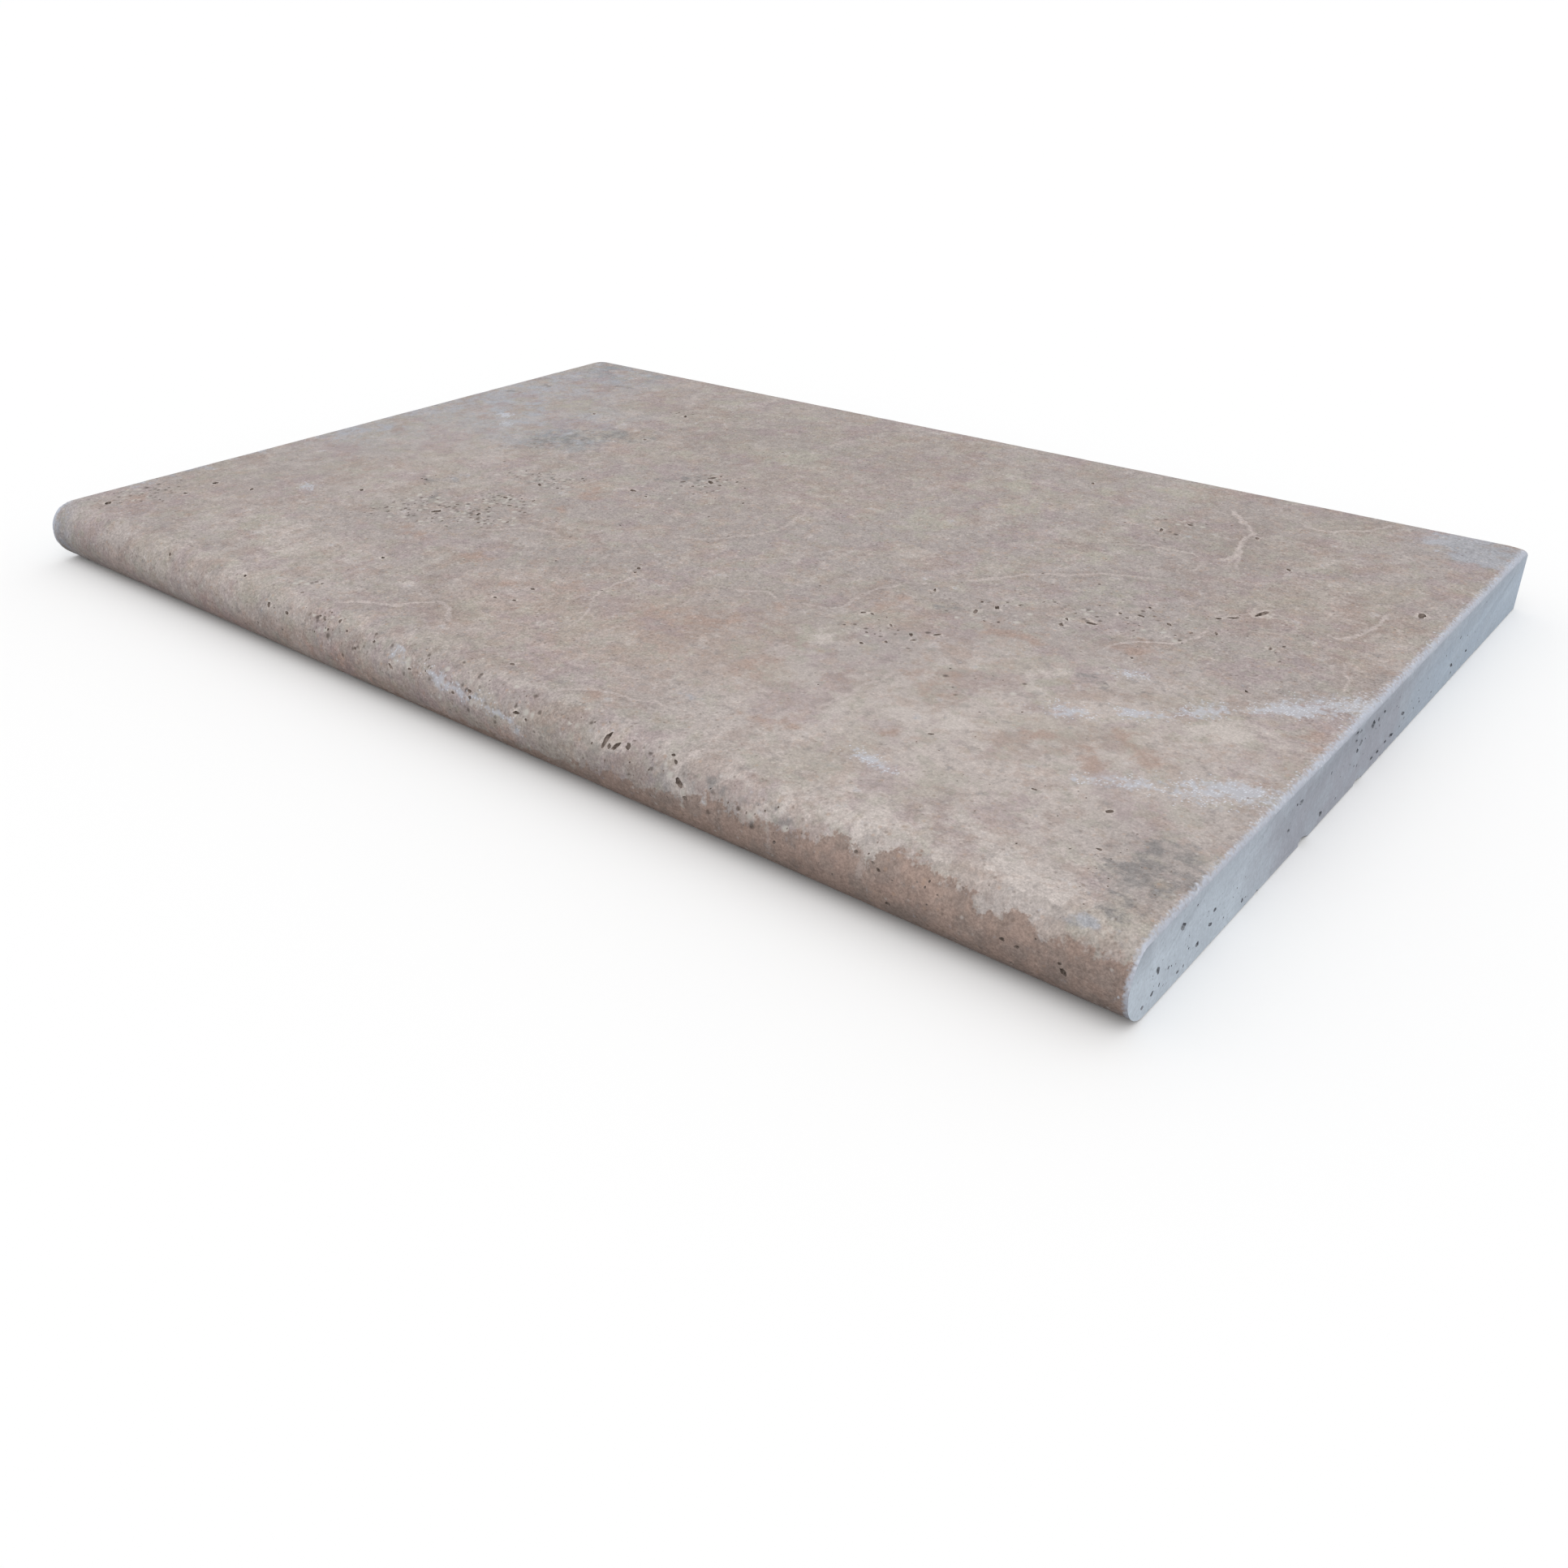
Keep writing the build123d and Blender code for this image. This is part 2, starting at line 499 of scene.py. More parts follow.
VEINS = (
    Streak(
        ((172, 173), (185, 157), (197, 144), (196, 134), (199, 121), (203, 108), (199, 98), (193, 95)),
        strength=1.0,
        width=1.9,
    ),
    Streak(((203, 108), (208, 96), (211, 90)), 0.7, 1.2),
    Streak(((195, 96), (175, 99), (160, 95), (153, 88)), 0.6, 1.3),
    Streak(((194, 94), (194, 83), (197, 76)), 0.6, 1.2),
    Streak(((246, 197), (240, 182), (228, 172), (221, 166), (209, 168)), 0.8, 1.5),
    Streak(
        ((192, 58), (175, 55), (163, 48), (155, 38), (145, 34), (137, 24), (127, 11), (116, -3)),
        strength=0.8,
        width=1.6,
    ),
    Streak(
        ((116, -3), (105, -14), (97, -25), (95, -38), (98, -52), (94, -61), (82, -62), (72, -66)),
        strength=0.7,
        width=1.3,
    ),
    Streak(((72, -66), (62, -60), (52, -68), (38, -70)), 0.7, 1.2),
    Streak(((250, 66), (240, 58), (229, 36), (222, 25)), 0.5, 1.2),
    Streak(((228, 22), (228, 10), (225, 0), (214, -8), (206, -12), (204, -23)), 1.0, 1.3),
    Streak(((281, 86), (279, 66), (277, 50), (273, 42), (266, 47)), 0.9, 1.2),
    Streak(((282, 23), (288, 10), (291, -6)), 0.6, 1.1),
    Streak(((151, -92), (149, -110), (148, -126), (145, -142)), 0.6, 1.5),
    Streak(((4, -80), (2, -104), (6, -116), (14, -122), (17, -134), (22, -142)), 0.7, 1.2),
    Streak(
        ((-80, -190), (-72, -183), (-58, -176), (-50, -168), (-42, -157), (-30, -166), (-19, -173)),
        strength=0.9,
        width=1.6,
    ),
    Streak(((-102, -89), (-92, -80), (-82, -70), (-70, -67), (-60, -71)), 0.7, 1.8),
    Streak(((3, 45), (13, 25), (15, 4), (8, -14), (-6, -30), (-24, -34)), 0.6, 1.6),
    Streak(((54, 2), (46, -15), (40, -28), (24, -36)), 0.5, 1.6),
    Streak(((146, -183), (134, -189), (132, -198), (131, -205)), 0.7, 1.6),
    Streak(((58, -190), (68, -180), (88, -175), (106, -171)), 0.8, 1.5),
    Streak(((212, -198), (212, -206), (213, -213)), 0.5, 1.8),
    Streak(((174, -204), (175, -210), (176, -216)), 0.4, 1.4),
)

# The upper edge of the brown bed that crops out low on the nose, from left to right
BAND_EDGE = (
    (-305, -225), (-60, -223), (0, -219), (55, -217), (75, -215), (92, -213), (104, -211), (118, -211),
    (131, -208), (142, -206), (152, -204), (166, -207), (174, -204), (186, -204), (191, -205), (197, -201),
    (204, -199), (210, -200), (213, -206), (217, -199), (229, -196), (241, -198), (250, -200), (257, -205),
    (264, -200), (271, -201), (277, -206), (281, -202), (305, -201),
)

PITS = (
    Pit(Face.BRUSHED, -64, 46, 5.0, 2.4, 60),
    Pit(Face.BRUSHED, -60, 40, 5.5, 2.2, -35),
    Pit(Face.BRUSHED, -53, 39, 3.0, 2.0, 0),
    Pit(Face.BRUSHED, -83, 4, 4.5, 2.4, -15),
    Pit(Face.BRUSHED, -71, 1, 2.6, 1.6, -20),
    Pit(Face.BRUSHED, -138, -82, 5.0, 3.2, 55),
    Pit(Face.BRUSHED, -118, -72, 3.6, 2.4, -50),
    Pit(Face.BRUSHED, -113, -77, 3.2, 1.8, 60),
    Pit(Face.BRUSHED, -129, -20, 4.0, 2.0, -45),
    Pit(Face.BRUSHED, -127, -46, 4.2, 2.0, 0),
    Pit(Face.BRUSHED, -116, -53, 2.8, 1.8, 0),
    Pit(Face.BRUSHED, -197, -85, 3.2, 2.2, -40),
    Pit(Face.BRUSHED, -269, -127, 4.0, 3.0, -40),
    Pit(Face.BRUSHED, -266, -147, 2.8, 2.0, 20),
    Pit(Face.BRUSHED, -244, -121, 3.0, 2.0, -50),
    Pit(Face.BRUSHED, -283, -181, 4.5, 3.0, -50),
    Pit(Face.BRUSHED, -106, -141, 2.8, 1.8, -35),
    Pit(Face.BRUSHED, -22, -124, 2.4, 1.8, 0),
    Pit(Face.BRUSHED, -3, -76, 2.6, 1.8, -40),
    Pit(Face.BRUSHED, -28, -141, 2.6, 1.5, -30),
    Pit(Face.BRUSHED, -19, -138, 2.2, 1.6, 20),
    Pit(Face.BRUSHED, -158, 129, 4.2, 2.0, -55),
    Pit(Face.BRUSHED, -207, 99, 3.0, 1.8, -40),
    Pit(Face.BRUSHED, -143, 77, 3.0, 1.8, -45),
    Pit(Face.BRUSHED, 168, 135, 3.2, 2.0, -20),
    Pit(Face.BRUSHED, 160, 120, 5.0, 1.8, -70),
    Pit(Face.BRUSHED, 201, 137, 3.0, 1.8, -60),
    Pit(Face.BRUSHED, 228, 106, 2.8, 1.8, -40),
    Pit(Face.BRUSHED, 100, 165, 2.6, 1.6, -60),
    Pit(Face.BRUSHED, 291, 89, 5.5, 3.4, -75),
    Pit(Face.BRUSHED, 238.4, 49.5, 9.5, 2.6, 76),
    Pit(Face.BRUSHED, 231, 38, 5.0, 2.0, 35),
    Pit(Face.BRUSHED, 226.5, 33.5, 3.0, 1.5, 40),
    Pit(Face.BRUSHED, 199, 26.5, 2.2, 1.5, -30),
    Pit(Face.BRUSHED, 200, 16, 3.6, 1.6, -10),
    Pit(Face.BRUSHED, 213, 15, 2.8, 1.7, -40),
    Pit(Face.BRUSHED, 192, 13, 2.2, 1.4, -60),
    Pit(Face.BRUSHED, 232, 18, 3.0, 1.4, -60),
    Pit(Face.BRUSHED, 255, 17, 3.0, 1.5, -70),
    Pit(Face.BRUSHED, 188, -4, 4.6, 2.2, 10),
    Pit(Face.BRUSHED, 177.5, -6.5, 3.2, 1.5, -55),
    Pit(Face.BRUSHED, 178.5, -13, 3.6, 1.8, -60),
    Pit(Face.BRUSHED, 148.5, -14, 4.2, 1.8, -60),
    Pit(Face.BRUSHED, 143.5, -23.5, 4.6, 1.7, -70),
    Pit(Face.BRUSHED, 117, -14, 3.0, 1.4, -60),
    Pit(Face.BRUSHED, 107, -54, 2.6, 1.6, 50),
    Pit(Face.BRUSHED, 111, -53, 2.2, 1.2, -20),
    Pit(Face.BRUSHED, 124, -58, 3.2, 1.2, -40),
    Pit(Face.BRUSHED, 144, -54, 3.6, 1.8, 60),
    Pit(Face.BRUSHED, 136, -61, 3.0, 1.6, -50),
    Pit(Face.BRUSHED, 139.5, -65, 2.4, 1.4, 40),
    Pit(Face.BRUSHED, 132, -73, 2.4, 1.4, -50),
    Pit(Face.BRUSHED, 125, -80.5, 2.6, 1.6, -30),
    Pit(Face.BRUSHED, 263, -26, 2.2, 1.2, -50),
    Pit(Face.BRUSHED, 216, -25, 2.0, 1.3, -50),
    Pit(Face.BRUSHED, 264, -138, 2.8, 1.9, 60),
    Pit(Face.BRUSHED, 272, -160.5, 2.0, 1.4, 0),
    Pit(Face.BRUSHED, 190, -129, 2.6, 1.2, 30),
    Pit(Face.BRUSHED, 238, -140.5, 2.6, 1.2, 0),
    Pit(Face.BRUSHED, 129.5, -198, 2.4, 1.4, -30),
    Pit(Face.BRUSHED, 30, -183, 2.6, 1.8, 0),
    Pit(Face.BRUSHED, 97, -200.5, 7.0, 2.4, 80),
    Pit(Face.BRUSHED, 99.5, -202, 2.6, 1.5, -60),
    Pit(Face.BRUSHED, 102.5, -201, 4.2, 1.7, 55),
    Pit(Face.BRUSHED, 107.6, -199.5, 3.0, 2.2, -45),
    Pit(Face.BRUSHED, 127, -196, 1.8, 1.4, 0),
    Pit(Face.BRUSHED, 134.5, -204.5, 4.6, 2.4, -25),
    Pit(Face.BRUSHED, 138.5, -208.8, 2.2, 1.4, 0),
    Pit(Face.BRUSHED, 24, -203.2, 2.6, 1.5, 0),
    Pit(Face.BRUSHED, 25, -205.6, 2.0, 1.4, -30),
    Pit(Face.BRUSHED, 15, -206.4, 2.0, 1.2, 0),
    Pit(Face.BRUSHED, 51, -204, 3.4, 1.2, 10),
    Pit(Face.BRUSHED, 57, -205, 1.6, 1.1, 0),
    Pit(Face.BRUSHED, -24, -206.6, 3.6, 1.4, -25),
    Pit(Face.BRUSHED, -48, -205.3, 2.2, 1.5, 0),
    Pit(Face.BRUSHED, -12.5, -204.4, 2.0, 1.2, 0),
    Pit(Face.BRUSHED, -38.5, -199.5, 1.8, 1.4, 0),
    Pit(Face.BRUSHED, -64, -197, 2.2, 1.5, -50),
    Pit(Face.BRUSHED, -77, -198, 2.0, 1.2, 0),
    Pit(Face.BRUSHED, -73, -198.9, 2.0, 1.2, -20),
    Pit(Face.BRUSHED, -98, -202.6, 2.6, 1.5, 0),
    Pit(Face.BRUSHED, -112, -202.3, 3.0, 1.8, -60),
    Pit(Face.BRUSHED, -139, -193.8, 2.0, 1.6, 0),
    Pit(Face.BRUSHED, -197, -198.2, 2.4, 1.5, -30),
    Pit(Face.BRUSHED, 284.5, -212.8, 3.2, 1.8, -50),
    Pit(Face.BRUSHED, 283, -210.4, 1.6, 1.1, 0),
    Pit(Face.BRUSHED, 216, -203.9, 1.8, 1.0, -20),
    Pit(Face.BRUSHED, 218.5, -205.4, 1.6, 1.1, -30),
    Pit(Face.BRUSHED, 178, -211, 1.7, 1.2, 60),
    Pit(Face.BRUSHED, 223, -216.2, 2.4, 1.3, 20),
    Pit(Face.BRUSHED, 264, -210.4, 2.0, 1.3, 0),
    Pit(Face.BRUSHED, 269, -211, 1.8, 1.1, 30),
    Pit(Face.BRUSHED, 267, -219.4, 2.2, 1.4, 60),
    Pit(Face.BRUSHED, 263, -229.5, 2.6, 1.6, 60),
    Pit(Face.BRUSHED, 209, -202.8, 1.8, 1.2, 0),
    Pit(Face.RIGHT_END, -169.3, 20.7, 3.4, 2.4, -20),
    Pit(Face.RIGHT_END, -184, 13.4, 3.4, 1.7, -60),
    Pit(Face.RIGHT_END, -192, 4.6, 2.4, 1.5, -30),
    Pit(Face.RIGHT_END, -186, 6.0, 2.2, 1.5, 20),
    Pit(Face.RIGHT_END, -155, 6.2, 2.6, 2.0, -30),
    Pit(Face.RIGHT_END, -144.5, 13.2, 2.6, 1.4, -10),
    Pit(Face.RIGHT_END, -146.5, 8.9, 3.6, 1.2, -25),
    Pit(Face.RIGHT_END, -120, 3.6, 2.2, 1.5, -30),
    Pit(Face.RIGHT_END, -168, 3.2, 1.8, 1.2, -20),
    Pit(Face.RIGHT_END, -77, 20.6, 3.2, 1.9, -25),
    Pit(Face.RIGHT_END, -81, 21.4, 2.0, 1.0, -25),
    Pit(Face.RIGHT_END, -85.5, 13.4, 2.6, 1.6, -30),
    Pit(Face.RIGHT_END, -51.5, 4.4, 3.4, 2.0, -30),
    Pit(Face.RIGHT_END, -26, 26.0, 3.4, 1.6, -20),
    Pit(Face.RIGHT_END, -21.5, 25.0, 2.6, 1.4, -15),
    Pit(Face.RIGHT_END, -25, 22.4, 2.8, 1.4, -25),
    Pit(Face.RIGHT_END, -18.5, 19.0, 3.4, 2.4, 20),
    Pit(Face.RIGHT_END, -21, 16.8, 3.0, 1.4, -30),
    Pit(Face.RIGHT_END, -6.8, 22.0, 4.4, 3.0, -20),
    Pit(Face.RIGHT_END, -0.6, 21.4, 2.6, 1.4, -40),
    Pit(Face.RIGHT_END, 5.5, 22.4, 2.8, 1.2, -25),
    Pit(Face.RIGHT_END, 34, 10.3, 4.4, 1.6, -25),
    Pit(Face.RIGHT_END, 23, 5.2, 5.2, 1.6, -15),
    Pit(Face.RIGHT_END, 16.5, 5.1, 3.0, 1.3, -15),
    Pit(Face.RIGHT_END, 8, 4.2, 3.4, 1.4, -15),
    Pit(Face.RIGHT_END, 1.2, 4.2, 3.4, 1.5, -15),
    Pit(Face.RIGHT_END, 98, 8.0, 4.4, 1.3, -25),
    Pit(Face.RIGHT_END, 120, 7.0, 3.0, 1.1, -20),
    Pit(Face.RIGHT_END, -66, -0.2, 9.0, 4.2, -8),
    Pit(Face.RIGHT_END, -12, -0.3, 8.0, 3.2, 0),
    Pit(Face.RIGHT_END, 12.6, -0.3, 3.4, 2.2, 0),
    Pit(Face.RIGHT_END, -107, -0.3, 3.0, 2.0, 0),
)

PIT_BEDS = (
    PitBed(Face.BRUSHED, -135, -12, 14, 7, 16, 2.2, etched=0.8),
    PitBed(Face.BRUSHED, -122, -50, 16, 7, 14, 2.4, etched=0.9),
    PitBed(Face.BRUSHED, -132, -78, 22, 10, 26, 2.3, etched=1.1),
    PitBed(Face.BRUSHED, -152, -94, 14, 8, 14, 2.1, etched=1.1),
    PitBed(Face.BRUSHED, -281, -164, 9, 11, 18, 2.8, etched=1.0),
    PitBed(Face.BRUSHED, -183, -52, 6, 4, 7, 2.0, etched=0.7),
    PitBed(Face.BRUSHED, -163, 132, 6, 5, 7, 2.0, etched=0.6),
    PitBed(Face.BRUSHED, -62, 38, 9, 7, 14, 2.4, etched=1.2),
    PitBed(Face.BRUSHED, -55, 20, 10, 8, 8, 1.8, etched=0.4),
    PitBed(Face.BRUSHED, -108, -183, 5, 5, 9, 1.8, etched=0.8),
    PitBed(Face.BRUSHED, -70, -200, 9, 2.5, 16, 1.4, etched=0.6),
    PitBed(Face.BRUSHED, 165, 128, 10, 10, 10, 1.8, etched=0.5),
    PitBed(Face.BRUSHED, 195, 5, 22, 10, 16, 1.8, etched=0.25),
    PitBed(Face.BRUSHED, 240, 20, 22, 18, 12, 1.5),
    PitBed(Face.BRUSHED, 148, -22, 10, 10, 12, 1.8, etched=0.25),
    PitBed(Face.BRUSHED, 128, -62, 12, 8, 22, 1.6, etched=0.25),
    PitBed(Face.BRUSHED, 190, -88, 14, 10, 10, 1.4, etched=0.2),
    PitBed(Face.BRUSHED, 250, -150, 30, 22, 46, 1.1),
    PitBed(Face.BRUSHED, 286, -168, 12, 16, 34, 1.1),
    PitBed(Face.BRUSHED, 100, -203, 14, 4, 16, 1.4),
    PitBed(Face.BRUSHED, 150, -205, 22, 4, 26, 1.3, etched=0.2),
    PitBed(Face.BRUSHED, 235, -208, 34, 5, 60, 1.2),
    PitBed(Face.BRUSHED, 15, -205, 16, 3, 14, 1.3),
    PitBed(Face.BRUSHED, 10, -203, 60, 5, 40, 1.2, etched=0.4),
    PitBed(Face.BRUSHED, -90, -203, 40, 4, 24, 1.3),
    PitBed(Face.BRUSHED, 0, 0, 150, 100, 110, 1.7),
    PitBed(Face.RIGHT_END, -182, 10, 14, 7, 34, 1.5, -35),
    PitBed(Face.RIGHT_END, -145, 10, 18, 7, 18, 1.4, -30),
    PitBed(Face.RIGHT_END, -15, 18, 16, 6, 14, 1.6, -25),
    PitBed(Face.RIGHT_END, 10, 4.5, 26, 2, 10, 1.6, -15),
    PitBed(Face.RIGHT_END, 60, 13, 80, 7, 30, 1.5, -25),
    PitBed(Face.LEFT_END, -60, 14, 80, 7, 46, 2.2, -20),
    PitBed(Face.LEFT_END, 120, 10, 40, 6, 22, 2.6, -20),
    PitBed(Face.BACK, -140, 14, 70, 7, 40, 2.4, -15),
    PitBed(Face.BACK, 150, 12, 80, 7, 36, 2.2, -15),
    PitBed(Face.UNDERSIDE, -120, 60, 90, 60, 40, 3.2, 30),
    PitBed(Face.UNDERSIDE, 140, -60, 80, 60, 40, 3.0, 30),
)


@dataclass(frozen=True)
class Tone:
    """One scale of light and dark: how large its patches are, and how far they swing either way."""

    size: float
    swing: float
    detail: float = 4.0

    def lay(self, tree: Tree, place: Socket, colour: Socket) -> Socket:
        """Lightens and darkens a colour by this scale of noise.

        Args:
            tree: The material's nodes.
            place: Where on the stone.
            colour: The colour so far.

        Returns:
            The changed colour.
        """
        inputs = {"Vector": place, "Scale": per_metre(self.size), "Detail": self.detail, "Roughness": 0.65}
        drift = node(tree, "ShaderNodeTexNoise", inputs)
        ends = {**NOISE_SPAN, "To Min": 1.0 - self.swing, "To Max": 1.0 + self.swing}
        share = node(tree, "ShaderNodeMapRange", {"Value": drift, **ends})
        inputs = {"Factor": 1.0, "A": colour, "B": share}
        return node(tree, "ShaderNodeMix", inputs, data_type="RGBA", blend_type="MULTIPLY")


@dataclass(frozen=True)
class Wash:
    """A torn-edged layer of another colour, where its noise is high or about the places of a mark."""

    colour: str
    size: float
    share: float
    start: float = 0.45
    full: float = 0.7
    mark: Mark | None = None
    pull: float = 0.27

    def lay(
        self,
        tree: Tree,
        place: Socket,
        colour: Socket | Rgba,
        marks: Mapping[Mark, Socket] | None = None,
    ) -> Socket:
        """Washes this colour over the colour so far.

        Args:
            tree: The material's nodes.
            place: Where on the stone.
            colour: The colour so far, or one plain linear colour.
            marks: The stone's markings, for a wash that reads one.

        Returns:
            The mix.
        """
        inputs = {"Vector": place, "Scale": per_metre(self.size), "Detail": 6.0, "Roughness": 0.62}
        drift = node(tree, "ShaderNodeTexNoise", inputs)
        if self.mark:
            inputs = {0: marks[self.mark], 1: self.pull, 2: drift}
            drift = node(tree, "ShaderNodeMath", inputs, operation="MULTIPLY_ADD")
        ends = {"From Min": self.start, "From Max": self.full, "To Max": self.share}
        share = node(tree, "ShaderNodeMapRange", {"Value": drift, **ends}, interpolation_type="SMOOTHSTEP")
        inputs = {"Factor": share, "A": colour, "B": linear(self.colour)}
        return node(tree, "ShaderNodeMix", inputs, data_type="RGBA")


@dataclass(frozen=True)
class Speck:
    """Loose grains of one colour: one to a cell of this size, in some of the cells."""

    colour: str
    size: float
    portion: float
    share: float
    radius: float = 0.42

    def lay(self, tree: Tree, place: Socket, colour: Socket, where: Socket | None = None) -> Socket:
        """Strews the grains over a colour.

        Args:
            tree: The material's nodes.
            place: Where on the stone.
            colour: The colour so far.
            where: A marking that thins the grains out, or none to strew them evenly.

        Returns:
            The colour with the grains on it.
        """
        inputs = {"Vector": place, "Scale": per_metre(self.size)}
        distance = node(tree, "ShaderNodeTexVoronoi", inputs, out="Distance")
        draw = node(tree, "ShaderNodeSeparateColor", {"Color": distance.node.outputs["Color"]})
        portion = self.portion
        if where:
            portion = node(tree, "ShaderNodeMath", {0: where, 1: self.portion}, operation="MULTIPLY")
        chosen = node(tree, "ShaderNodeMath", {0: draw, 1: portion}, operation="LESS_THAN")
        ends = {"From Min": self.radius, "From Max": 0.4 * self.radius, "To Max": self.share}
        spot = node(tree, "ShaderNodeMapRange", {"Value": distance, **ends})
        share = node(tree, "ShaderNodeMath", {0: chosen, 1: spot}, operation="MULTIPLY")
        inputs = {"Factor": share, "A": colour, "B": linear(self.colour)}
        return node(tree, "ShaderNodeMix", inputs, data_type="RGBA")


def new_material(name: str, roughness: float) -> tuple[bpy.types.Material, Socket]:
    """Starts a matt material.

    Args:
        name: The material's name.
        roughness: How matt it is.

    Returns:
        The material, and the place on the stone that its patterns read.
    """
    material = bpy.data.materials.new(name)
    material.use_nodes = True
    shader = material.node_tree.nodes["Principled BSDF"]
    shader.inputs["Roughness"].default_value = roughness
    shader.inputs["Specular IOR Level"].default_value = 0.2
    return material, node(material.node_tree, "ShaderNodeTexCoord", out="Object")


def close_material(material: bpy.types.Material, colour: Socket, height: Socket, relief_mm: float) -> None:
    """Links a finished colour and its relief to a material's shader.

    Args:
        material: The material.
        colour: The finished colour.
        height: The relief, from low to high.
        relief_mm: How deep the relief is, in millimetres.
    """
    tree = material.node_tree
    shader = tree.nodes["Principled BSDF"]
    tree.links.new(colour, shader.inputs["Base Color"])
    inputs = {"Height": height, "Strength": 0.6, "Distance": relief_mm * MM}
    tree.links.new(node(tree, "ShaderNodeBump", inputs), shader.inputs["Normal"])


@dataclass(frozen=True)
class BrushedTravertine:
    """Brushed, unfilled travertine: matt and chalky, cloudy at arm's length and sandy close up."""

    name: str = "brushed_travertine"
    # The brown bed: how far the grain pushes its edge about, and the depths between which it comes in
    band: str = "#A38C81"
    band_rag: float = 22.0
    band_start: tuple[float, float] = (10.6, 13.2)
    band_rim: str = "#8B7B73"
    band_rim_span: tuple[float, float] = (17.5, 12.5)
    band_drift: Wash = Wash("#918179", 12.0, 0.85, 0.44, 0.60)
    # A vein's flanks and core: the colour, where it starts and is full beside its line, and its strength
    vein_layers: tuple[tuple[str, float, float, float], ...] = (
        ("#90857F", 5.5, 2.0, 0.3),
        ("#BDB2AE", 1.4, 0.3, 0.8),
    )
    vein_wander: float = 5.0
    worn: str = "#C0C6D3"
    grain_size: float = 4.2
    grit_size: float = 1.3
    roughness: float = 0.85
    relief: float = 0.4
    washes: tuple[Wash, ...] = (
        Wash("#A69E94", 38.0, 0.50, 0.50, 0.60),
        Wash("#A09092", 31.0, 0.50, 0.50, 0.60),
        Wash("#B6ADA9", 25.0, 0.45, 0.53, 0.62),
        Wash("#9C8B84", 20.0, 0.45, 0.53, 0.62),
        Wash("#AA978D", 8.5, 0.34, 0.54, 0.60),
        Wash("#B8AFAA", 7.0, 0.34, 0.54, 0.60),
        Wash("#8F8784", 6.0, 0.34, 0.55, 0.61),
        Wash("#A3A095", 11.0, 0.34, 0.55, 0.61),
        Wash("#AAA59B", 8.0, 0.80, 0.58, 0.78, Mark.KHAKI),
        Wash("#BFB6B1", 9.0, 0.80, 0.58, 0.78, Mark.PALE),
        Wash("#A69086", 8.0, 0.80, 0.56, 0.84, Mark.RUSTY),
        Wash("#A3A5AC", 9.0, 0.80, 0.64, 0.80, Mark.BLUISH, 0.30),
        Wash("#888483", 6.0, 0.90, 0.60, 0.84, Mark.DUSKY, 0.24),
        # Painted highlight on the rims of the pores, where their worn lips would catch the light
        Wash("#C6BCB6", 2.4, 0.60, 0.68, 0.86, Mark.RIM_HIGHLIGHT, 0.32),
    )
    # The real grit is under half a millimetre: its finest scales are drawn coarser, to show in the render
    tones: tuple[Tone, ...] = (
        Tone(43.0, 0.03),
        Tone(18.0, 0.04),
        Tone(9.0, 0.04),
        Tone(3.3, 0.06),
        Tone(1.9, 0.12, 2.0),
        Tone(1.1, 0.14, 2.0),
        Tone(0.7, 0.14, 1.0),
    )
    specks: tuple[Speck, ...] = (
        Speck("#74665E", 1.9, 0.09, 0.55),
        Speck("#B3957F", 2.3, 0.07, 0.40),
        Speck("#CDC7C3", 2.1, 0.06, 0.50),
    )
    calmed: float = 0.5
    ticks: tuple[Speck, ...] = (
        Speck("#8F8B86", 5.2, 0.55, 0.45, 0.6),
        Speck("#C6C2BB", 3.7, 0.45, 0.70, 0.5),
        Speck("#554B44", 3.1, 0.40, 0.70, 0.42),
        Speck("#4C433D", 5.6, 0.25, 0.75, 0.3),
    )
    frost_veil: Wash = Wash("#BBBDC5", 3.0, 0.75, 0.62, 0.84, Mark.FROST, 0.36)
    frost: Speck = Speck("#DADEE7", 0.9, 0.42, 0.62, 0.6)
    crumbs: Speck = Speck("#D2D6DF", 1.3, 0.30, 0.6, 0.6)

    def build(self) -> bpy.types.Material:
        """Makes the material.

        Returns:
            A material that reads the stone's markings and lays the fine pattern of the stone over them.
        """
        material, place = new_material(self.name, self.roughness)
        tree = material.node_tree
        marks = {m: node(tree, "ShaderNodeAttribute", out="Fac", attribute_name=m.value) for m in Mark}
        inputs = {"Vector": place, "Scale": per_metre(self.grain_size), "Detail": 5.0, "Roughness": 0.7}
        fine = node(tree, "ShaderNodeTexNoise", inputs)
        inputs = {"Vector": place, "Scale": per_metre(self.grit_size), "Detail": 2.0}
        grit = node(tree, "ShaderNodeTexNoise", inputs)

        # A stain is thin in some grains and strong in others
        tint = marks[Mark.TINT].node.outputs["Color"]
        ends = {**NOISE_SPAN, "To Min": 0.4, "To Max": 1.6}
        strength = node(tree, "ShaderNodeMapRange", {"Value": fine, **ends})
        inputs = {"Factor": strength, "A": linear(Tint.BASE.value), "B": tint}
        colour = node(tree, "ShaderNodeMix", inputs, data_type="RGBA", clamp_factor=False)
        for wash in self.washes:
            colour = wash.lay(tree, place, colour, marks)

